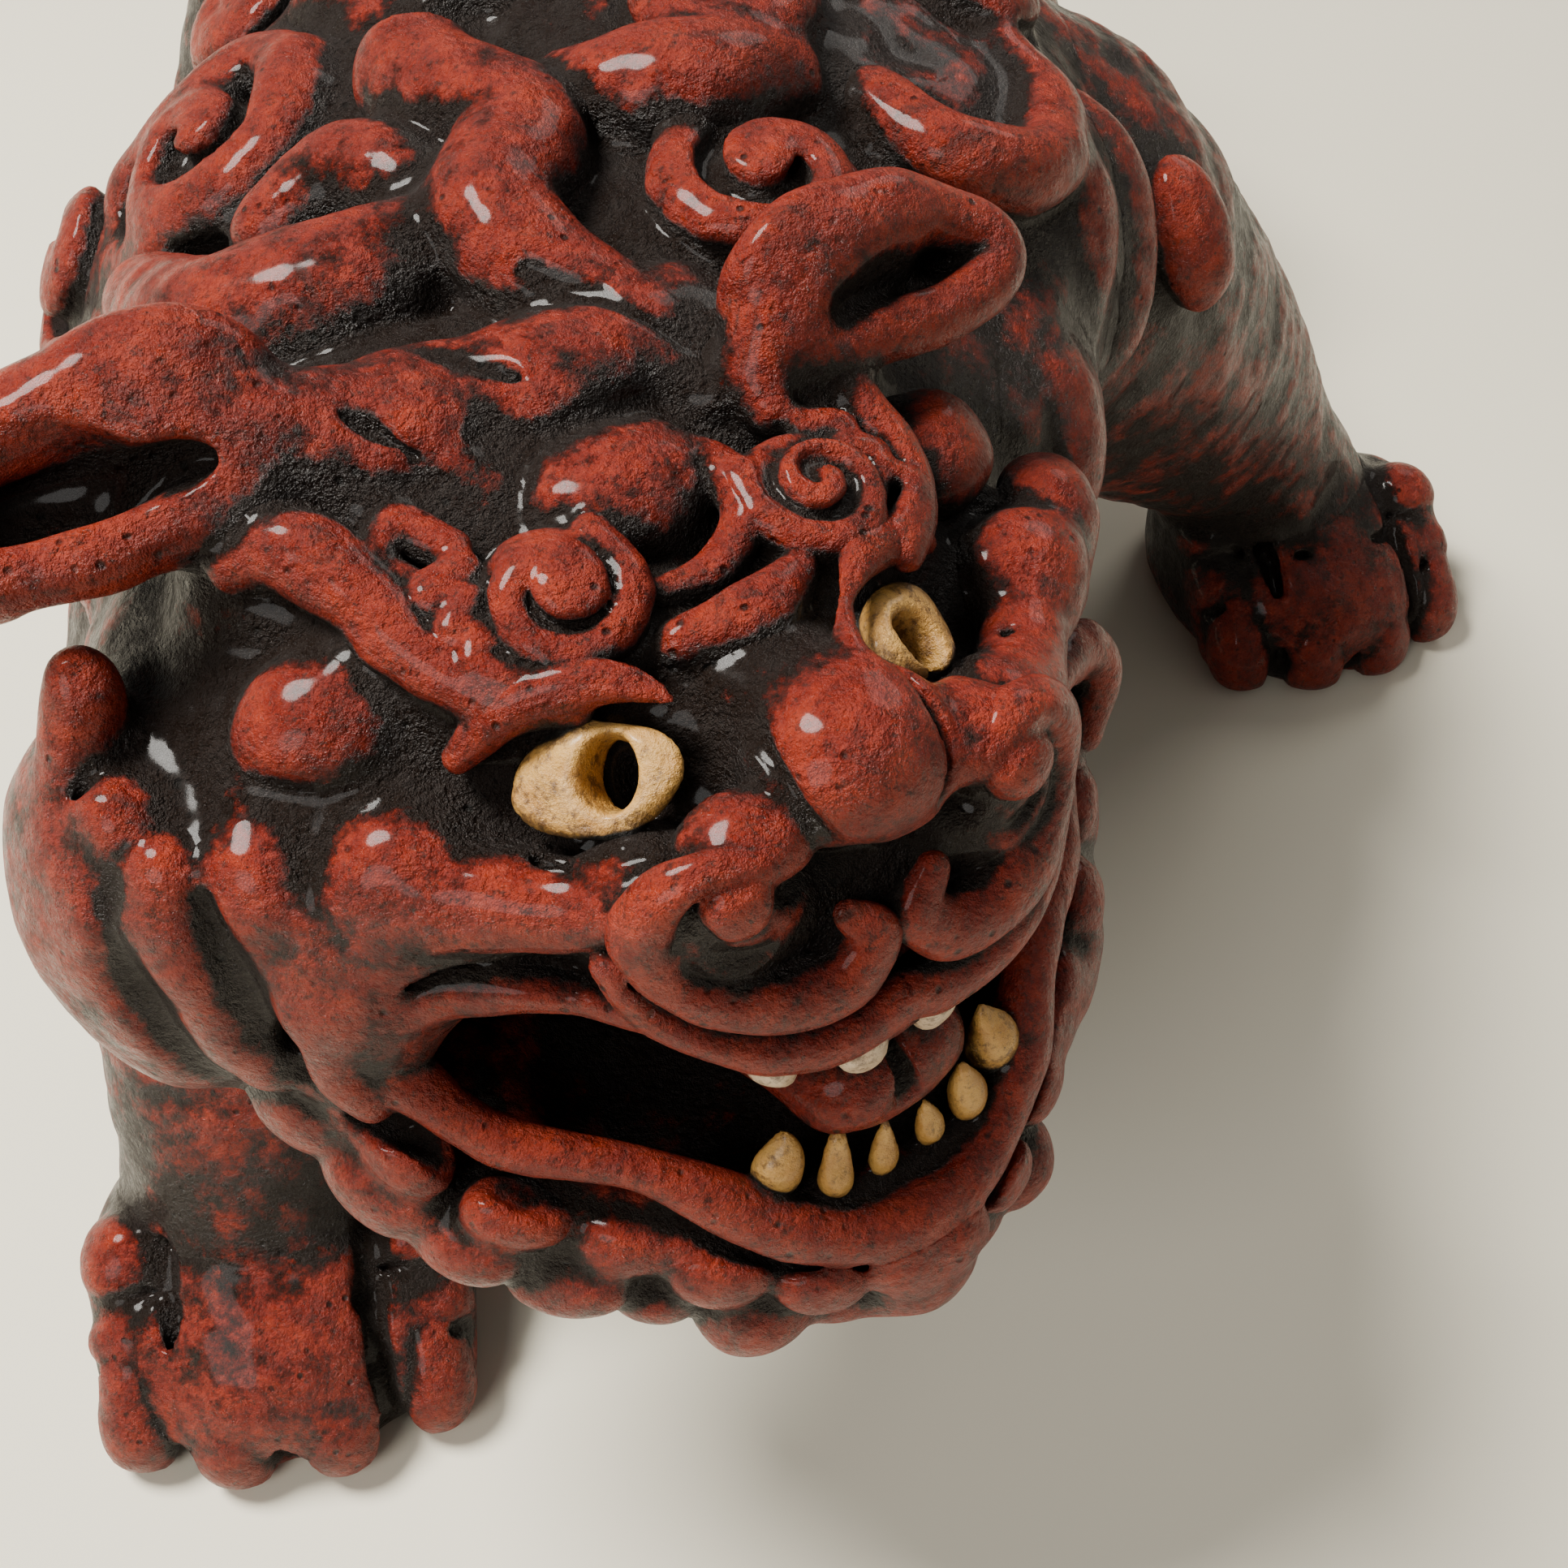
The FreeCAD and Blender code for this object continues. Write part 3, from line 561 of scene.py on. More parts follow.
def model_mane():
    base = [("mane_crest_curls", (-10, -40, 112), (50, 44, 38)),
            ("mane_curls_right", (-46, -40, 108), (34, 40, 33)),
            ("mane_curls_left", (18, -42, 113), (28, 36, 29)), ("mane_collar_curls", (-22, -76, 118),
                    (40, 26, 28)),
            ("mane_side_curls_right", (-60, -62, 96), (20, 26, 22)), ("mane_fringe_right", (-36, 2, 110),
                    (32, 26, 30)),
            ("mane_fringe_left", (16, 2, 112), (30, 26, 30)), ("mane_side_curls_left", (20, -74, 106),
                    (15, 16, 20))]
    for piece, place, radii in base:
        add(piece, ellipsoid(body(*place), radii, BODY_AXES), 8)
    curls = [
        ("mane_collar_curls", (-68, -88, 122), (-0.8, -0.2, 0.6), 12, 30, 1),
        ("mane_collar_curls", (-3, -77, 144), (0.1, -0.1, 1), 11, 200, -1),
        ("mane_crest_curls", (-5, -48, 147), (0, -0.1, 1), 13, 20, 1),
        ("mane_crest_curls", (-24, -22, 145), (-0.2, 0.1, 1), 15, 160, -1),
        ("mane_crest_curls", (4, -18, 146), (0.1, 0.1, 1), 15, 250, 1),
        ("mane_curls_right", (-58, -42, 130), (-0.55, 0, 0.85), 17, 70, 1),
        ("mane_curls_right", (-52, -8, 129), (-0.5, 0.1, 0.85), 16, 140, -1),
        ("mane_curls_right", (-78, -30, 112), (-0.9, 0, 0.5), 14, 230, 1),
        ("mane_curls_left", (26, -30, 139), (0.45, 0, 0.9), 14, 320, 1),
        ("mane_fringe_right", (-28, 8, 140), (-0.25, 0.3, 0.95), 14, 60, 1),
        ("mane_fringe_right", (-58, 20, 118), (-0.8, 0.2, 0.6), 14, 200, -1),
        ("mane_fringe_right", (-70, 2, 104), (-0.95, 0.1, 0.3), 12, 330, 1),
        ("mane_fringe_left", (-2, 12, 143), (0, 0.3, 1), 14, 90, -1),
        ("mane_fringe_left", (26, 8, 137), (0.4, 0.3, 0.9), 13, 290, 1),
        ("mane_side_curls_right", (-80, -52, 100), (-0.95, -0.1, 0.3), 13, 120, -1),
        ("mane_side_curls_right", (-74, -74, 104), (-0.95, -0.2, 0.35), 12, 300, 1),
    ]
    for piece, place, normal, radius, start, direction in curls:
        curl(piece, body(*place), normal, radius, 0.45, start, 1.3, direction, 0.26, 2.5)
    locks = [
        ("mane_collar_curls", [(-28, -36, 146), (-36, -52, 147), (-26, -66, 148), (-30, -80, 147),
                (-18, -96, 143)],
         [6.5, 7, 6.5, 7, 5]),
        ("mane_collar_curls", [(-66, -66, 132), (-58, -80, 137), (-46, -82, 141), (-36, -78, 144)],
         [6, 8.5, 8.5, 6]),
        ("mane_collar_curls", [(-52, -66, 140), (-44, -64, 143), (-38, -70, 145)], [5, 6.5, 5]),
        ("mane_collar_curls", [(-60, -90, 132), (-48, -94, 136), (-36, -92, 139)], [5, 6.5, 5]),
        ("mane_crest_curls", [(-20, -58, 147), (-13, -62, 149), (-6, -62, 149), (2, -58, 147)],
         [5, 6.5, 6.5, 4.5]),
        ("mane_crest_curls", [(-40, -30, 141), (-44, -20, 140), (-38, -8, 141)], [5, 6, 4]),
        ("mane_curls_left", [(12, -58, 143), (20, -68, 142), (30, -64, 137), (34, -50, 136), (30, -40, 139)],
         [3.5, 4.6, 4.8, 4.4, 3]),
        ("mane_curls_right", [(-72, -58, 120), (-66, -52, 126), (-70, -44, 124)], [5, 6, 4.5]),
    ]
    for piece, points, radii in locks:
        lock(piece, points, radii)
    dice = np.random.default_rng(SEED + 1)
    for piece, place, radii in base:
        for _ in range(MANE_LUMPS):
            way = unit(dice.uniform(-1, 1, 3) + vec(0.9 * np.sign(place[0] + 12), 0, 1))
            spot = body(*place) + way * np.array(radii) * 0.97
            size = dice.uniform(4, 6.5)
            lean = facing(way, unit(dice.uniform(-1, 1, 3)))
            add(piece, ellipsoid(spot, (1.7 * size, size, 0.55 * size), lean), 1.5)


# ---- Trunk, legs, paws, tail ----


def model_trunk():
    for word, shift in (("right", -4), ("left", 4)):
        name = "trunk_shell_" + word
        aside = vec(shift, 0, 0)
        add(name, ellipsoid(trunk_point(0.455, 0.153, 0.515) + aside, (45, 40, 39), BODY_AXES), 8)
        add(name, ellipsoid(trunk_point(0.516, 0.353, 0.488) + aside, (56, 60, 50), BODY_AXES), 12)
        add(name, ellipsoid(trunk_point(0.568, 0.602, 0.479) + aside, (44, 72, 42), BODY_AXES), 12)
        add(name, ellipsoid(trunk_point(0.585, 0.803, 0.488) + aside, (48, 46, 46), BODY_AXES), 12)
    spine = [(0.525, 0.49, 0.905), (0.56, 0.586, 0.878), (0.577, 0.706, 0.896), (0.585, 0.827, 0.915),
            (0.59, 0.94, 0.833)]
    add("trunk_shell_left", sweep([trunk_point(*p) for p in spine], [4, 4.5, 4.5, 5, 5]), 5)
    for step in range(5):
        back = 0.554 + 0.064 * step
        for side in SIDES:
            rib = [trunk_point(0.577 + 0.364 * side, back - 0.016, 0.669),
                   trunk_point(0.577 + 0.434 * side, back, 0.488),
                   trunk_point(0.577 + 0.4 * side, back + 0.02, 0.288)]
            cut(sweep(rib, [1.2, 2.2, 1.2]), 5)
    for side in SIDES:
        curl("rump_curls", trunk_point(0.585 + 0.225 * side, 0.9, 0.806), (side * 0.5, 0.45, 0.7), 12, 0.5,
             90.0 + 60.0 * side, 1.5, side, 0.2)


# Hip, knee, ankle and foot: shares of the leg's own box, outwards, backwards and upwards, and a radius.
LEGS = {
    "front_right": [
        ((0.24, 0.73, 0.72), 34), ((0.49, 0.46, 0.50), 29), ((0.66, 0.22, 0.28), 21), ((0.70, 0.14, 0.11),
                20),
    ],
    "front_left": [
        ((0.15, 0.47, 0.68), 33), ((0.44, 0.60, 0.47), 26), ((0.70, 0.71, 0.26), 19), ((0.84, 0.73, 0.10),
                18),
    ],
    "hind_right": [
        ((0.14, 0.60, 0.71), 34), ((0.53, 0.37, 0.47), 27), ((0.61, 0.59, 0.26), 18), ((0.63, 0.56, 0.08),
                17),
    ],
    "hind_left": [
        ((0.22, 0.60, 0.72), 33), ((0.55, 0.40, 0.47), 27), ((0.62, 0.63, 0.26), 18), ((0.64, 0.60, 0.08),
                17),
    ],
}
# The muscle ovals: how far each leans outwards, its size, and its reach from the hip, as shares.
FRONT_OVALS = ((-0.01, 1.25, 1.3), (0.6, 0.8, 1.06))
HIND_OVALS = ((0.9, 1.0, 1.1), (1.6, 0.8, 1.1))
PAW_YAW = {"front_right": -3, "front_left": 8, "hind_right": -6, "hind_left": 6.0}
PAW_WIDTH = 52.0
PAW_INWARD = 4.0
TOES = (-0.37, -0.125, 0.125, 0.37)
# How far back the outer toes sit, for the square of a toe's place.
TOE_FALL = 36.0


def model_leg(name):
    stations = [(limb_point("leg_" + name, *place), radius) for place, radius in LEGS[name]]
    side = 1.0 if name.endswith("left") else -1.0
    add("leg_" + name, sweep([p for p, r in stations], [r for p, r in stations], 6), 10)
    (hip, hip_radius), (knee, knee_radius), (ankle, ankle_radius) = stations[:3]
    for lean, size, reach in FRONT_OVALS if name.startswith("front") else HIND_OVALS:
        outward = unit(vec(side * lean, -0.78, 0.52))
        oval = (0.25 * hip_radius * size, 0.42 * hip_radius * size, 0.16 * hip_radius)
        add("muscle_boss_" + name, ellipsoid(hip + outward * reach * hip_radius, oval, facing(outward)), 2)
    for step in range(4):
        share = 0.05 + 0.3 * step
        spot = ankle + (knee - ankle) * share
        radius = ankle_radius + (knee_radius - ankle_radius) * share
        root = spot + vec(0.55 * side * radius, 0.5 * radius, 5)
        mid = spot + vec(0.82 * side * radius, 0.55 * radius, 1)
        tip = spot + vec(0.9 * side * radius, 0.75 * radius, -6)
        add("leg_tufts_" + name, sweep([root, mid, tip], [5, 4.6, 1.8]), 1.5)
    for share in (0.3, 0.65):
        spot = ankle + (knee - ankle) * share
        radius = ankle_radius + (knee_radius - ankle_radius) * share
        place = spot + vec(-0.1 * side * radius, -0.62 * radius, 0)
        add("leg_" + name, ellipsoid(place, (7, 6, 11), BODY_AXES), 4)


def model_paw(name):
    piece = "paw_" + name
    ground = middle(piece)
    axes = turned(np.array([[1, 0, 0], [0, -1, 0], [0, 0, 1]]), yaw=-PAW_YAW[name])
    inward = PAW_INWARD if name.endswith("right") else -PAW_INWARD

    def at(across, forward, up):
        return vec(ground[0] + inward, ground[1], 0) + axes[0] * across + axes[1] * forward + UP * up

    add(piece, ellipsoid(at(0, 1, 8), (26, 28.5, 18.5), axes), 6)
    for place in TOES:
        x = place * PAW_WIDTH
        back = TOE_FALL * place * place
        toe = [at(x, 0 - back, 15), at(x, 9 - back, 17), at(1.02 * x, 17 - back, 12),
               at(1.03 * x, 22 - back, 5)]
        add(piece, sweep(toe, [5.6, 6, 5.8, 5.4]), 2.5)
        add(piece, ellipsoid(at(x, 9 - back, 20.5), (6.6, 6.4, 5.4), axes), 1.4)
        add(piece, ellipsoid(at(1.02 * x, 18.0 - back, 14.4), (6.6, 3.8, 4.6), axes), 1)
        claw = [at(1.03 * x, 21.5 - back, 12), at(1.04 * x, 26.0 - back, 7), at(1.05 * x, 28.5 - back, 1.5)]
        add("claws_" + name, sweep(claw, [4.6, 5.5, 4.6]), 0.8)
        for forward, up in ((15.8, 21.5), (22.5, 14.5)):
            ring = [at(x - 6, forward - back - 2, up - 2), at(x, forward - back, up),
                    at(x + 6, forward - back - 2, up - 2)]
            cut(sweep(ring, 0.45), 1.4)
    for left, right in zip(TOES, TOES[1:]):
        x = 0.5 * (left + right) * PAW_WIDTH
        back = TOE_FALL * (0.5 * (left + right)) ** 2
        groove = [at(x, 0 - back, 26.5), at(x, 10 - back, 24), at(x, 19 - back, 17.5),
                at(x, 25.5 - back, 9), at(x, 29 - back, 0)]
        cut(sweep(groove, [0.5, 1.2, 1.7, 1.7, 1.5]), 2)


def model_tail():
    root = box_point(["tail_plume"], 0.5, 0.17, 0.08)

    def at(x, y, z):
        return root + vec(x, y, z)

    plume = [at(0, -4, -4), at(0, 13, 22), at(-1, 15, 46), at(-2, 8, 66)]
    add("tail_plume", sweep(plume, [12, 15, 11, 3]), 5)
    for side in SIDES:
        side_lock = [at(0, 2, 2), at(10 * side, 11, 20), at(18 * side, 10, 38), at(19 * side, 3, 53)]
        add("tail_side_locks", sweep(side_lock, [9, 10, 7.5, 2.5]), 2)
        for shift in (0, 6):
            groove = [at(side * (3 + shift), 26, 10), at(side * (4 + shift), 28, 28),
                    at(side * (2 + shift), 22, 48)]
            cut(sweep(groove, [1, 1.4, 0.8]), 1.5)
        curl("tail_side_locks", at(13 * side, 14, 4), (side * 0.8, 0.5, 0.1), 8, 0.6, 90, 1.4, side, 0.22)


def model_all():
    model_trunk()
    for name in LEGS:
        model_leg(name)
    model_mane()
    model_skull()
    model_jaw()
    model_beard()
    model_cheeks()
    model_moustache()
    model_eyes()
    model_nose()
    model_brows()
    model_ears()
    model_teeth()
    for name in LEGS:
        model_paw(name)
    model_tail()


# ---- Grids: replaying the steps ----


def block(start, stop):
    return tuple(slice(a, b) for a, b in zip(start, stop))


class Grid:
    """A block of space that holds the blended surface and each piece's own field."""

    def __init__(self, low, high, step):
        self.step = step
        self.low = np.floor(np.asarray(low) / step) * step
        self.count = (np.ceil((np.asarray(high) - self.low) / step) + 1).astype(int)
        self.axes = [(self.low[i] + step * np.arange(self.count[i])).astype(np.float32) for i in range(3)]
        self.skin = np.full(self.count, FAR, np.float32)
        self.own = {}

    def window(self, low, high):
        start = np.clip(np.floor((low - self.low) / self.step).astype(int), 0, self.count)
        stop = np.clip(np.ceil((high - self.low) / self.step).astype(int) + 1, 0, self.count)
        if np.any(stop - start < 2):
            return None
        return start, stop

    def coordinates(self, start, stop):
        x, y, z = (self.axes[i][start[i]:stop[i]] for i in range(3))
        return x[:, None, None], y[None, :, None], z[None, None, :]

    def draw(self, form):
        """The form's distance in its own window, or None where the grid doesn't reach it."""
        low = np.min([bit[0] for bit in form], axis=0) - MARGIN
        high = np.max([bit[1] for bit in form], axis=0) + MARGIN
        window = self.window(low, high)
        if window is None:
            return None
        start, stop = window
        field = np.full(stop - start, FAR, np.float32)
        for bit_low, bit_high, distance in form:
            inner = self.window(bit_low - MARGIN, bit_high + MARGIN)
            if inner is None:
                continue
            part = field[block(inner[0] - start, inner[1] - start)]
            np.minimum(part, distance(*self.coordinates(*inner)), out=part)
        return start, stop, field

    def apply(self, piece, form, blend):
        drawn = self.draw(form)
        if drawn is None:
            return
        start, stop, field = drawn
        box = block(start, stop)
        if piece is None:
            self.skin[box] = -smooth_min(-self.skin[box], field, blend)
            return
        self.skin[box] = smooth_min(self.skin[box], field, blend)
        if piece not in self.own:
            self.own[piece] = (start, stop, field)
            return
        old_start, old_stop, old = self.own[piece]
        new_start, new_stop = np.minimum(start, old_start), np.maximum(stop, old_stop)
        grown = np.full(new_stop - new_start, FAR, np.float32)
        grown[block(old_start - new_start, old_stop - new_start)] = old
        inner = block(start - new_start, stop - new_start)
        grown[inner] = smooth_min(grown[inner], field, blend)
        self.own[piece] = (new_start, new_stop, grown)

    def finish_skin(self):
        """Stand the figure flat on the floor, roughen the clay, and measure how raised each spot is."""
        for wavelength, height, seed in CLAY_LUMPS:
            self.skin += height * self.noise(wavelength, SEED + seed)
        self.skin = np.maximum(self.skin, -self.axes[2][None, None, :])
        pressed = self.average(RELIEF_RADII["broad"]) - PRESS
        self.skin = -smooth_min(-self.skin, -pressed, PRESS_BLEND)
        self.relief = {name: self.average(radius) for name, radius in RELIEF_RADII.items()}
        # The nearest and the second nearest piece's distance at each spot.
        first = np.full(self.count, FAR, np.float32)
        second = np.full(self.count, FAR, np.float32)
        for start, stop, field in self.own.values():
            box = block(start, stop)
            nearer = field < first[box]
            second[box] = np.where(nearer, first[box], np.minimum(second[box], field))
            first[box] = np.where(nearer, field, first[box])
        self.first = first
        self.second = second

    def average(self, radius):
        return blurred(np.clip(self.skin, -BLUR_BAND, BLUR_BAND), int(round(radius / self.step)))

    def noise(self, wavelength, seed):
        """Smooth random lumps, the same in every grid because their lattice is fixed to the object."""
        origin = np.array(CAD_LOW) / MM - 3.0 * wavelength
        span = (np.array(CAD_HIGH) - np.array(CAD_LOW)) / MM + 6.0 * wavelength
        cells = (span / wavelength + 3).astype(int)
        values = np.random.default_rng(seed).uniform(-1.0, 1.0, cells).astype(np.float32)
        for axis in range(3):
            place = (self.axes[axis] - origin[axis]) / wavelength
            cell = np.floor(place).astype(int)
            share = (place - cell).astype(np.float32)
            share = share * share * (3.0 - 2.0 * share)
            shape = [1, 1, 1]
            shape[axis] = -1
            share = share.reshape(shape)
            values = values.take(cell, axis=axis) * (1.0 - share) + values.take(cell + 1, axis=axis) * share
        return values

    def mesh(self, piece):
        """Vertices, quads and relief values for one piece's territory of the blended surface."""
        start, stop, field = self.own[piece]
        box = block(start, stop)
        others = np.where(field <= self.first[box] + 1e-4, self.second[box], self.first[box])
        beyond = field - others
        share = np.clip(beyond / OVERLAP, 0.0, 1.0)
        dip = DIP * share * share * (3.0 - 2.0 * share)
        solid = np.maximum(self.skin[box] + dip, 0.6 * (beyond - OVERLAP))
        solid = np.pad(np.clip(solid, -MESH_BAND, MESH_BAND), 1, constant_values=MESH_BAND)
        volume = openvdb.FloatGrid(MESH_BAND)
        volume.copyFromArray(np.ascontiguousarray(solid))
        points, quads = volume.convertToQuads(isovalue=0.0)
        points, quads = without_crumbs(points, quads)
        index = points.astype(np.float64) - 1.0 + start
        values = {name: sample(array, index) for name, array in self.relief.items()}
        return (self.low + index * self.step) * MM, quads, values


def smooth_min(a, b, blend):
    if blend <= 0.0:
        return np.minimum(a, b)
    share = np.clip(0.5 + 0.5 * (a - b) / blend, 0.0, 1.0)
    return a + (b - a) * share - blend * share * (1.0 - share)


def blurred(field, reach):
    """Two passes of a box average along each axis."""
    reach = max(reach, 1)
    width = 2 * reach + 1
    for _ in range(2):
        for axis in range(3):
            pad = [(0, 0)] * 3
            pad[axis] = (reach + 1, reach)
            total = np.cumsum(np.pad(field, pad, mode="edge"), axis=axis, dtype=np.float32)
            size = field.shape[axis]
            high = np.take(total, np.arange(width, width + size), axis=axis)
            low = np.take(total, np.arange(0, size), axis=axis)
            field = (high - low) / width
    return field


def sample(array, index):
    """Trilinear values of an array at fractional indices."""
    low = np.clip(np.floor(index).astype(int), 0, np.array(array.shape) - 2)
    share = np.clip(index - low, 0.0, 1.0)
    total = 0.0
    for corner in range(8):
        bits = [(corner >> axis) & 1 for axis in range(3)]
        weight = 1.0
        for axis, bit in enumerate(bits):
            weight = weight * (share[:, axis] if bit else 1.0 - share[:, axis])
        total = total + weight * array[low[:, 0] + bits[0], low[:, 1] + bits[1], low[:, 2] + bits[2]]
    return total


def without_crumbs(points, quads):
    """Keep only lumps with more than a fortieth of the piece's largest lump's points."""
    label = np.arange(len(points))
    edges = np.concatenate([quads[:, [0, 1]], quads[:, [1, 2]], quads[:, [2, 3]]])
    while True:
        low = np.minimum(label[edges[:, 0]], label[edges[:, 1]])
        new = label.copy()
        np.minimum.at(new, edges[:, 0], low)
        np.minimum.at(new, edges[:, 1], low)
        new = new[new]
        if np.array_equal(new, label):
            break
        label = new
    size = np.bincount(label, minlength=len(points))
    keep = size[label] > size.max() / 40
    renumber = np.cumsum(keep) - 1
    quads = quads[keep[quads[:, 0]]]
    return points[keep], renumber[quads]


# ---- Materials ----


class Nodes:
    """Short names for wiring up a material."""

    def __init__(self, name):
        self.material = bpy.data.materials.new(name)
        self.material.use_nodes = True
        self.tree = self.material.node_tree
        self.shader = self.tree.nodes["Principled BSDF"]
        self.place = self.new("ShaderNodeTexCoord").outputs["Object"]

    def new(self, kind, **settings):
        node = self.tree.nodes.new(kind)
        for key, value in settings.items():
            setattr(node, key, value)
        return node

    def link(self, output, target):
        self.tree.links.new(output, target)

    def height_above_floor(self):
        node = self.new("ShaderNodeSeparateXYZ")
        self.link(self.place, node.inputs["Vector"])
        return node.outputs["Z"]

    def attribute(self, name):
        return self.new("ShaderNodeAttribute", attribute_name=name).outputs["Fac"]

    def noise(self, scale, detail=4.0, roughness=0.55, distortion=0.0):
        node = self.new("ShaderNodeTexNoise")
        self.link(self.place, node.inputs["Vector"])
        for key, value in (("Scale", scale), ("Detail", detail), ("Roughness", roughness),
                ("Distortion", distortion)):
            node.inputs[key].default_value = value
        return node.outputs["Fac"]

    def spots(self, scale):
        node = self.new("ShaderNodeTexVoronoi", feature="F1")
        self.link(self.place, node.inputs["Vector"])
        node.inputs["Scale"].default_value = scale
        return node.outputs["Distance"]

    def feed(self, socket, value):
        """Link another node's output to a socket, or set a plain number or colour on it."""
        if hasattr(value, "is_linked"):
            self.link(value, socket)
        else:
            socket.default_value = (*value, 1.0) if hasattr(value, "__len__") else value

    def math(self, operation, a, b):
        node = self.new("ShaderNodeMath", operation=operation)
        for socket, value in zip(node.inputs, (a, b)):
            self.feed(socket, value)
        return node.outputs[0]

    def plus(self, a, b):
        return self.math("ADD", a, b)

    def minus(self, a, b):
        return self.math("SUBTRACT", a, b)

    def times(self, a, b):
        return self.math("MULTIPLY", a, b)

    def ramp(self, value, *stops):
        node = self.new("ShaderNodeValToRGB")
        self.link(value, node.inputs["Fac"])
        elements = node.color_ramp.elements
        while len(elements) < len(stops):
            elements.new(0.5)
        for element, (position, colour) in zip(elements, stops):
            element.position = position
            if not hasattr(colour, "__len__"):
                colour = (colour, colour, colour)
            element.color = (*colour, 1.0)
        return node.outputs["Color"]

    def mix(self, factor, a, b):
        node = self.new("ShaderNodeMix", data_type="RGBA")
        for socket, value in ((node.inputs[0], factor), (node.inputs[6], a), (node.inputs[7], b)):
            self.feed(socket, value)
        return node.outputs[2]

    def bump(self, height, strength, distance):
        node = self.new("ShaderNodeBump")
        node.inputs["Strength"].default_value = strength
        node.inputs["Distance"].default_value = distance
        self.link(height, node.inputs["Height"])
        self.link(node.outputs["Normal"], self.shader.inputs["Normal"])


DARK = (0.011, 0.006, 0.004)
DEEP_RED = (0.060, 0.006, 0.003)
RED = (0.150, 0.011, 0.0045)
ORANGE_RED = (0.255, 0.025, 0.008)
# Near black: painted shade within the clay's pinholes and the pierced pupils.
HOLE_SHADE = (0.004, 0.003, 0.002)
STAIN = (0.075, 0.032, 0.012)
# Below this height, in metres, the colour turns darker towards the floor, by this much for each metre further
# down.
DARK_BELOW = 0.066
DARKENING = 5.5


def painted_clay(name):
    """Red lacquer rubbed onto raised forms over dark brown, under a glossy coat."""
    m = Nodes(name)
    raised = m.plus(m.times(m.attribute("relief_broad"), 0.55),
                    m.times(m.attribute("relief_fine"), 1.3))
    raised = m.plus(raised, m.times(m.attribute("relief_wide"), 0.10))
    patches = m.times(m.minus(m.noise(70.0, 6.0, 0.7), 0.5), 1.9)
    edges = m.times(m.minus(m.noise(420.0, 6.0, 0.8), 0.5), 1.5)
    low = m.math("MINIMUM", m.times(m.minus(m.height_above_floor(), DARK_BELOW), DARKENING), 0.0)
    paint = m.plus(m.plus(raised, patches), m.plus(edges, low))
    cover = m.ramp(m.plus(paint, 0.24), (0.30, 0.0), (0.40, 0.35), (0.62, 1.0))
    thick = m.plus(m.noise(210.0, 7.0, 0.78), m.times(paint, 0.14))
    tone = m.ramp(thick, (0.40, DEEP_RED), (0.56, RED), (0.76, ORANGE_RED))
    colour = m.mix(cover, DARK, tone)
    flecks = m.ramp(m.noise(900.0, 4.0, 0.85), (0.54, 0.0), (0.64, 1.0))
    rubbed = m.ramp(m.noise(150.0, 8.0, 0.85, 0.8), (0.53, 0.0), (0.64, 1.0))
    chance = m.ramp(m.noise(120.0, 3.0, 0.6), (0.50, 0.0), (0.58, 1.0))
    pits = m.times(m.ramp(m.spots(430.0), (0.10, 1.0), (0.22, 0.0)), chance)
    # Flecks and rubbed patches show the dark ground through worn red; the pinholes are real, and their near
    # black is painted shade within them.
    for wear_and_shade, strength, tone in ((flecks, 0.7, DARK), (rubbed, 0.7, DARK), (pits, 0.85, HOLE_SHADE)):
        colour = m.mix(m.times(wear_and_shade, strength), colour, tone)
    m.link(colour, m.shader.inputs["Base Color"])
    rough = m.ramp(m.noise(330.0, 6.0, 0.8), (0.38, 0.20), (0.62, 0.58))
    m.link(rough, m.shader.inputs["Roughness"])
    m.shader.inputs["Specular IOR Level"].default_value = 0.24
    m.shader.inputs["Coat Weight"].default_value = 0.12
    m.shader.inputs["Coat Roughness"].default_value = 0.10
    bare = m.minus(1.0, cover)
    grain = m.times(m.noise(1300.0, 3.0, 0.8), m.plus(m.times(bare, 1.4), 0.35))
    height = m.plus(m.times(m.noise(560.0, 5.0, 0.8), 1.2), m.times(pits, -0.6))
    height = m.plus(m.plus(height, grain), m.times(m.noise(190.0, 5.0, 0.7), 2.4))
    height = m.plus(height, m.times(cover, 0.25))
    m.bump(height, 0.9, 0.0008)
    return m.material


def painted_tooth(name, light, shade):
    """Thick opaque paint, stained in its pits and along its edges, with painted shade, near black, in its
    deepest hollows such as the pierced pupils.
    """
    m = Nodes(name)
    tone = m.ramp(m.noise(300.0, 5.0, 0.7), (0.3, shade), (0.62, light))
    stain = m.ramp(m.plus(m.noise(800.0, 4.0, 0.8), m.times(m.attribute("relief_fine"), -0.35)),
                   (0.42, 0.0), (0.58, 1.0))
    colour = m.mix(m.times(stain, 0.8), tone, STAIN)
    # Painted shade: the deepest hollows, such as the pierced pupils' walls, are painted near black.
    painted_hole_shade = m.ramp(m.plus(m.attribute("relief_fine"), 0.5), (0.34, 1.0), (0.44, 0.0))
    colour = m.mix(painted_hole_shade, colour, HOLE_SHADE)
    m.link(colour, m.shader.inputs["Base Color"])
    m.shader.inputs["Roughness"].default_value = 0.45
    m.shader.inputs["Coat Weight"].default_value = 0.25
    m.shader.inputs["Coat Roughness"].default_value = 0.2
    m.bump(m.noise(500.0, 5.0, 0.75), 0.8, 0.0009)
    return m.material


def floor_paper():
    m = Nodes("studio_floor")
    tone = m.ramp(m.noise(2.0, 3.0, 0.5), (0.3, (0.80, 0.745, 0.60)), (0.7, (0.85, 0.795, 0.645)))
    m.link(tone, m.shader.inputs["Base Color"])
    m.shader.inputs["Roughness"].default_value = 0.75
    return m.material


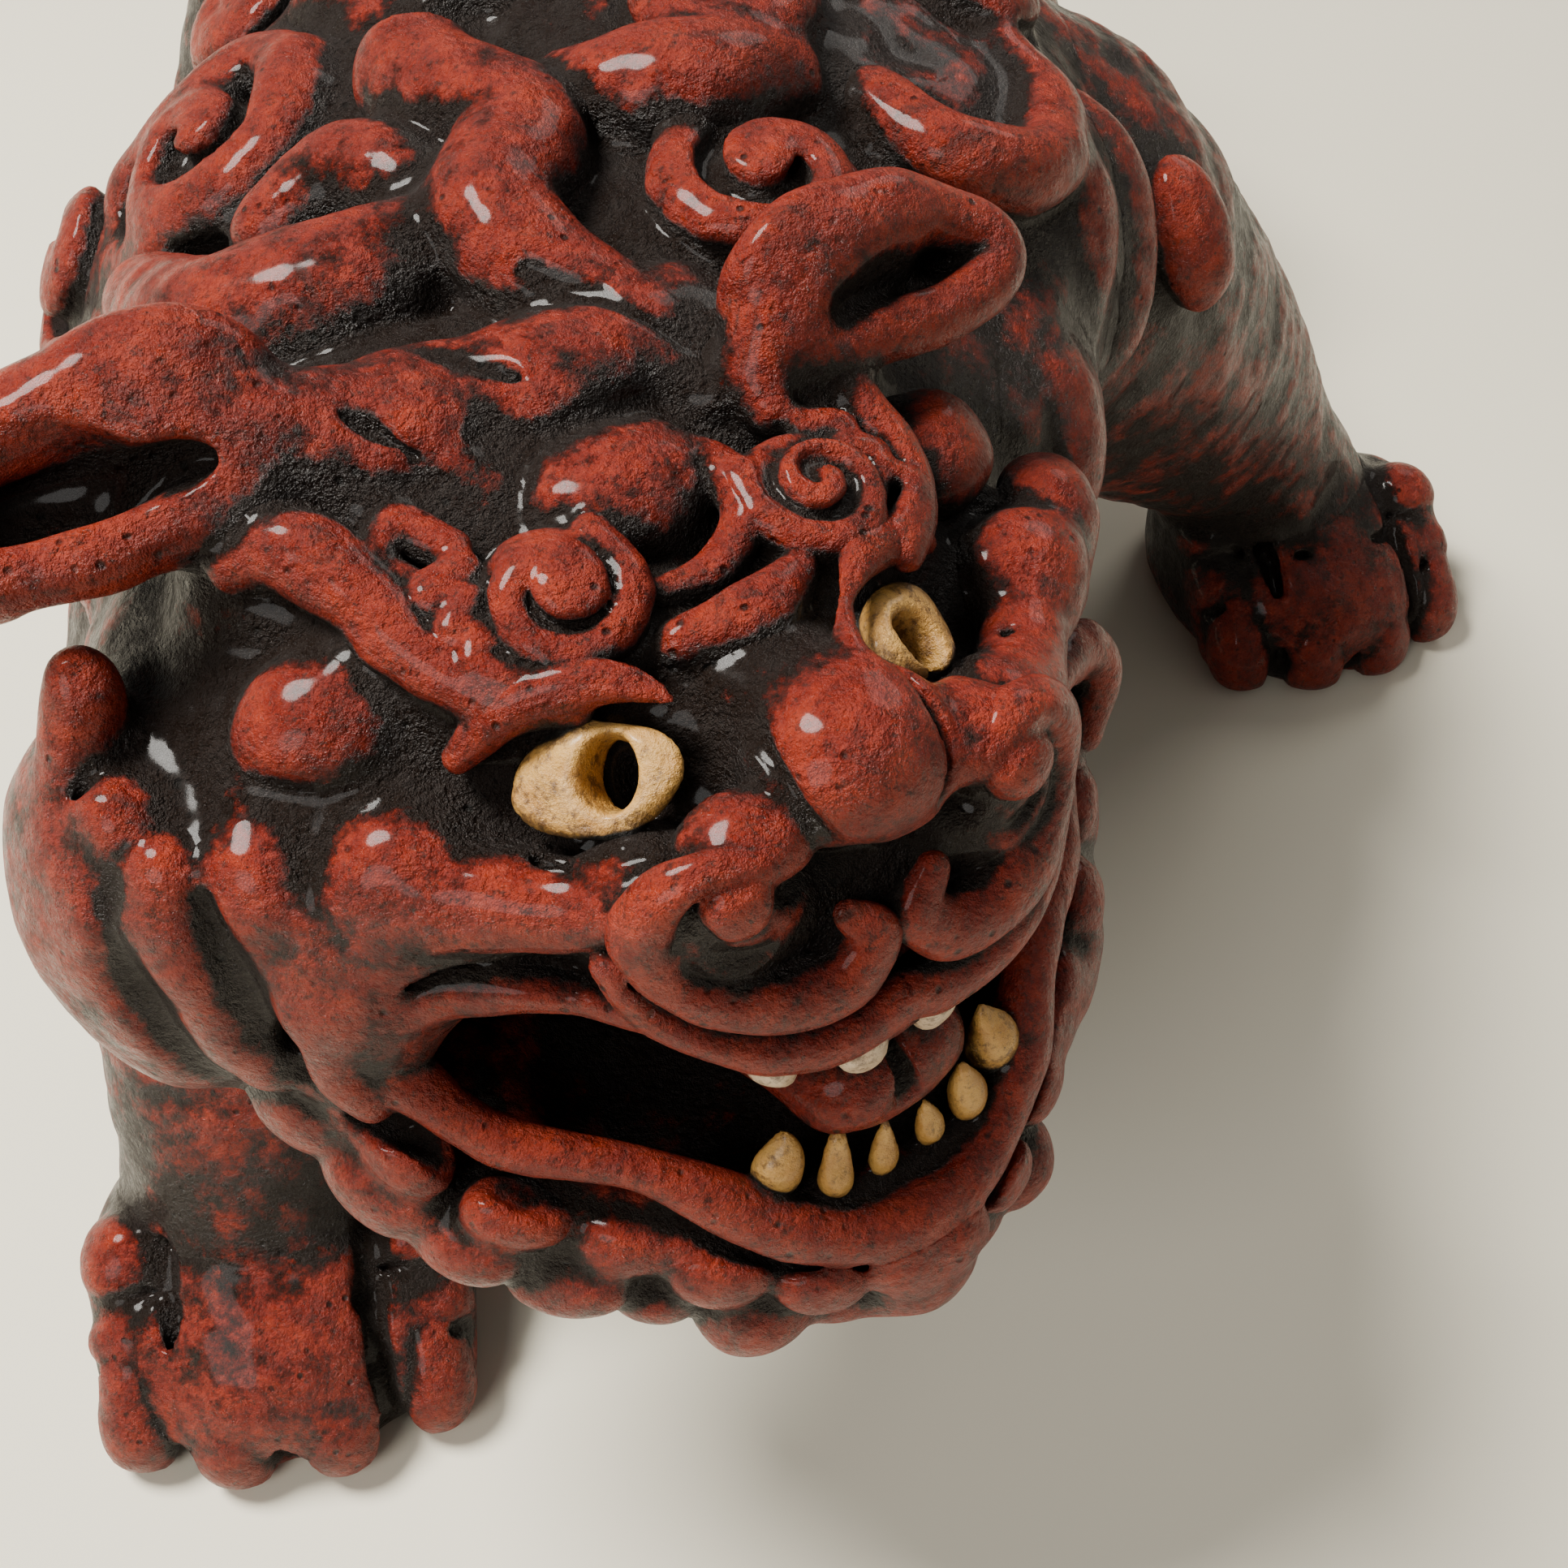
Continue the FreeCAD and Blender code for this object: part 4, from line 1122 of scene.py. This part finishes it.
# ---- Pieces ----

SLOTS = {row["node"]: row["material_slot"] for row in frame["record"]["subparts"]}
HEAD_PIECES = ("head_shell", "muzzle", "lower_jaw", "tongue", "nose", "eye_", "brow_", "forehead",
        "moustache", "cheek_",
               "ear_", "upper_", "lower_", "beard", "mane_collar")


def make_piece(name, grid, materials):
    points, quads, values = grid.mesh(name)
    mesh = bpy.data.meshes.new(name + "_skin")
    mesh.vertices.add(len(points))
    mesh.vertices.foreach_set("co", points.astype(np.float32).ravel())
    mesh.loops.add(quads.size)
    mesh.loops.foreach_set("vertex_index", quads.astype(np.int32).ravel())
    mesh.polygons.add(len(quads))
    mesh.polygons.foreach_set("loop_start", np.arange(0, quads.size, 4, dtype=np.int32))
    mesh.update(calc_edges=True)
    mesh.validate()
    for key, data in values.items():
        layer = mesh.attributes.new("relief_" + key, "FLOAT", "POINT")
        layer.data.foreach_set("value", data.astype(np.float32))
    mesh.polygons.foreach_set("use_smooth", np.ones(len(mesh.polygons), dtype=bool))
    piece = bpy.data.objects.new(name + "_skin", mesh)
    bpy.context.scene.collection.objects.link(piece)
    mesh.materials.append(materials[SLOTS[name]])
    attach(piece, "root")
    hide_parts(name)


ROOM_ROUND_BOX = 8.0
HEAD_MIDDLE = (0, -22, -24)
HEAD_ROOM_BELOW = (66, 62, 48)
HEAD_ROOM_ABOVE = (66, 62, 56)


def build_pieces():
    model_all()
    materials = {
        "red_lacquer_paint": painted_clay("red_lacquer"),
        "ochre_paint": painted_tooth("ochre_paint", (0.56, 0.31, 0.075), (0.40, 0.18, 0.035)),
        "cream_paint": painted_tooth("cream_paint", (0.66, 0.52, 0.36), (0.48, 0.33, 0.20)),
    }
    box_low = np.array(CAD_LOW) / MM - ROOM_ROUND_BOX
    box_high = np.array(CAD_HIGH) / MM + ROOM_ROUND_BOX
    head_low = head(*HEAD_MIDDLE) - vec(*HEAD_ROOM_BELOW)
    head_high = head(*HEAD_MIDDLE) + vec(*HEAD_ROOM_ABOVE)
    for low, high, step, is_head in ((head_low, head_high, HEAD_STEP, True),
            (box_low, box_high, BODY_STEP, False)):
        grid = Grid(low, high, step)
        for piece, form, blend in STEPS:
            grid.apply(piece, form, blend)
        grid.finish_skin()
        for name in grid.own:
            if name.startswith(HEAD_PIECES) == is_head:
                make_piece(name, grid, materials)


# ---- Studio ----


def aim(thing, target):
    thing.rotation_mode = "QUATERNION"
    thing.rotation_quaternion = (Vector(target) - thing.location).to_track_quat("-Z", "Y")


def area_light(name, place, target, size, power, colour):
    data = bpy.data.lights.new(name, "AREA")
    data.shape = "DISK"
    data.size = size
    data.energy = power
    data.color = colour
    light = bpy.data.objects.new(name, data)
    bpy.context.scene.collection.objects.link(light)
    light.location = place
    aim(light, target)


CAMERA_AZIMUTH = -10.0
CAMERA_ELEVATION = 50.0
CAMERA_VIEW = 46.0
CAMERA_FROM_EYES = (-18.2, -108.0, 118.0)
WARM_WHITE = (1.0, 0.97, 0.92)
# Name, place in metres, size, power and colour.
LIGHTS = [
    ("key", (-0.5, 0.1, 0.95), 0.36, 26.0, (1.0, 0.97, 0.91)),
    ("window", (-0.6, -0.7, 0.7), 0.5, 5.0, (1.0, 0.98, 0.95)),
    ("rim", (0.7, 0.7, 0.8), 0.5, 3.0, WARM_WHITE),
]
WORLD_STRENGTH = 0.2
FLOOR_HALF = 14.0


def build_studio():
    mesh = bpy.data.meshes.new("floor")
    corners = [(x * FLOOR_HALF, y * FLOOR_HALF, 0) for x, y in ((-1, -1), (1, -1), (1, 1), (-1, 1))]
    mesh.from_pydata(corners, [], [(0, 1, 2, 3)])
    mesh.materials.append(floor_paper())
    ground = bpy.data.objects.new("floor", mesh)
    bpy.context.scene.collection.objects.link(ground)

    for name, place, size, power, colour in LIGHTS:
        area_light(name, place, EYES * MM, size, power, colour)
    world = bpy.data.worlds.new("studio")
    world.use_nodes = True
    background = world.node_tree.nodes["Background"]
    background.inputs["Color"].default_value = (*WARM_WHITE, 1.0)
    background.inputs["Strength"].default_value = WORLD_STRENGTH
    bpy.context.scene.world = world

    data = bpy.data.cameras.new("camera")
    data.angle = math.radians(CAMERA_VIEW)
    data.clip_start = 0.01
    camera = bpy.data.objects.new("camera", data)
    bpy.context.scene.collection.objects.link(camera)
    camera.location = (EYES + vec(*CAMERA_FROM_EYES)) * MM
    camera.rotation_euler = (math.radians(90.0 - CAMERA_ELEVATION), 0.0, math.radians(CAMERA_AZIMUTH))
    bpy.context.scene.camera = camera


build_pieces()
build_studio()
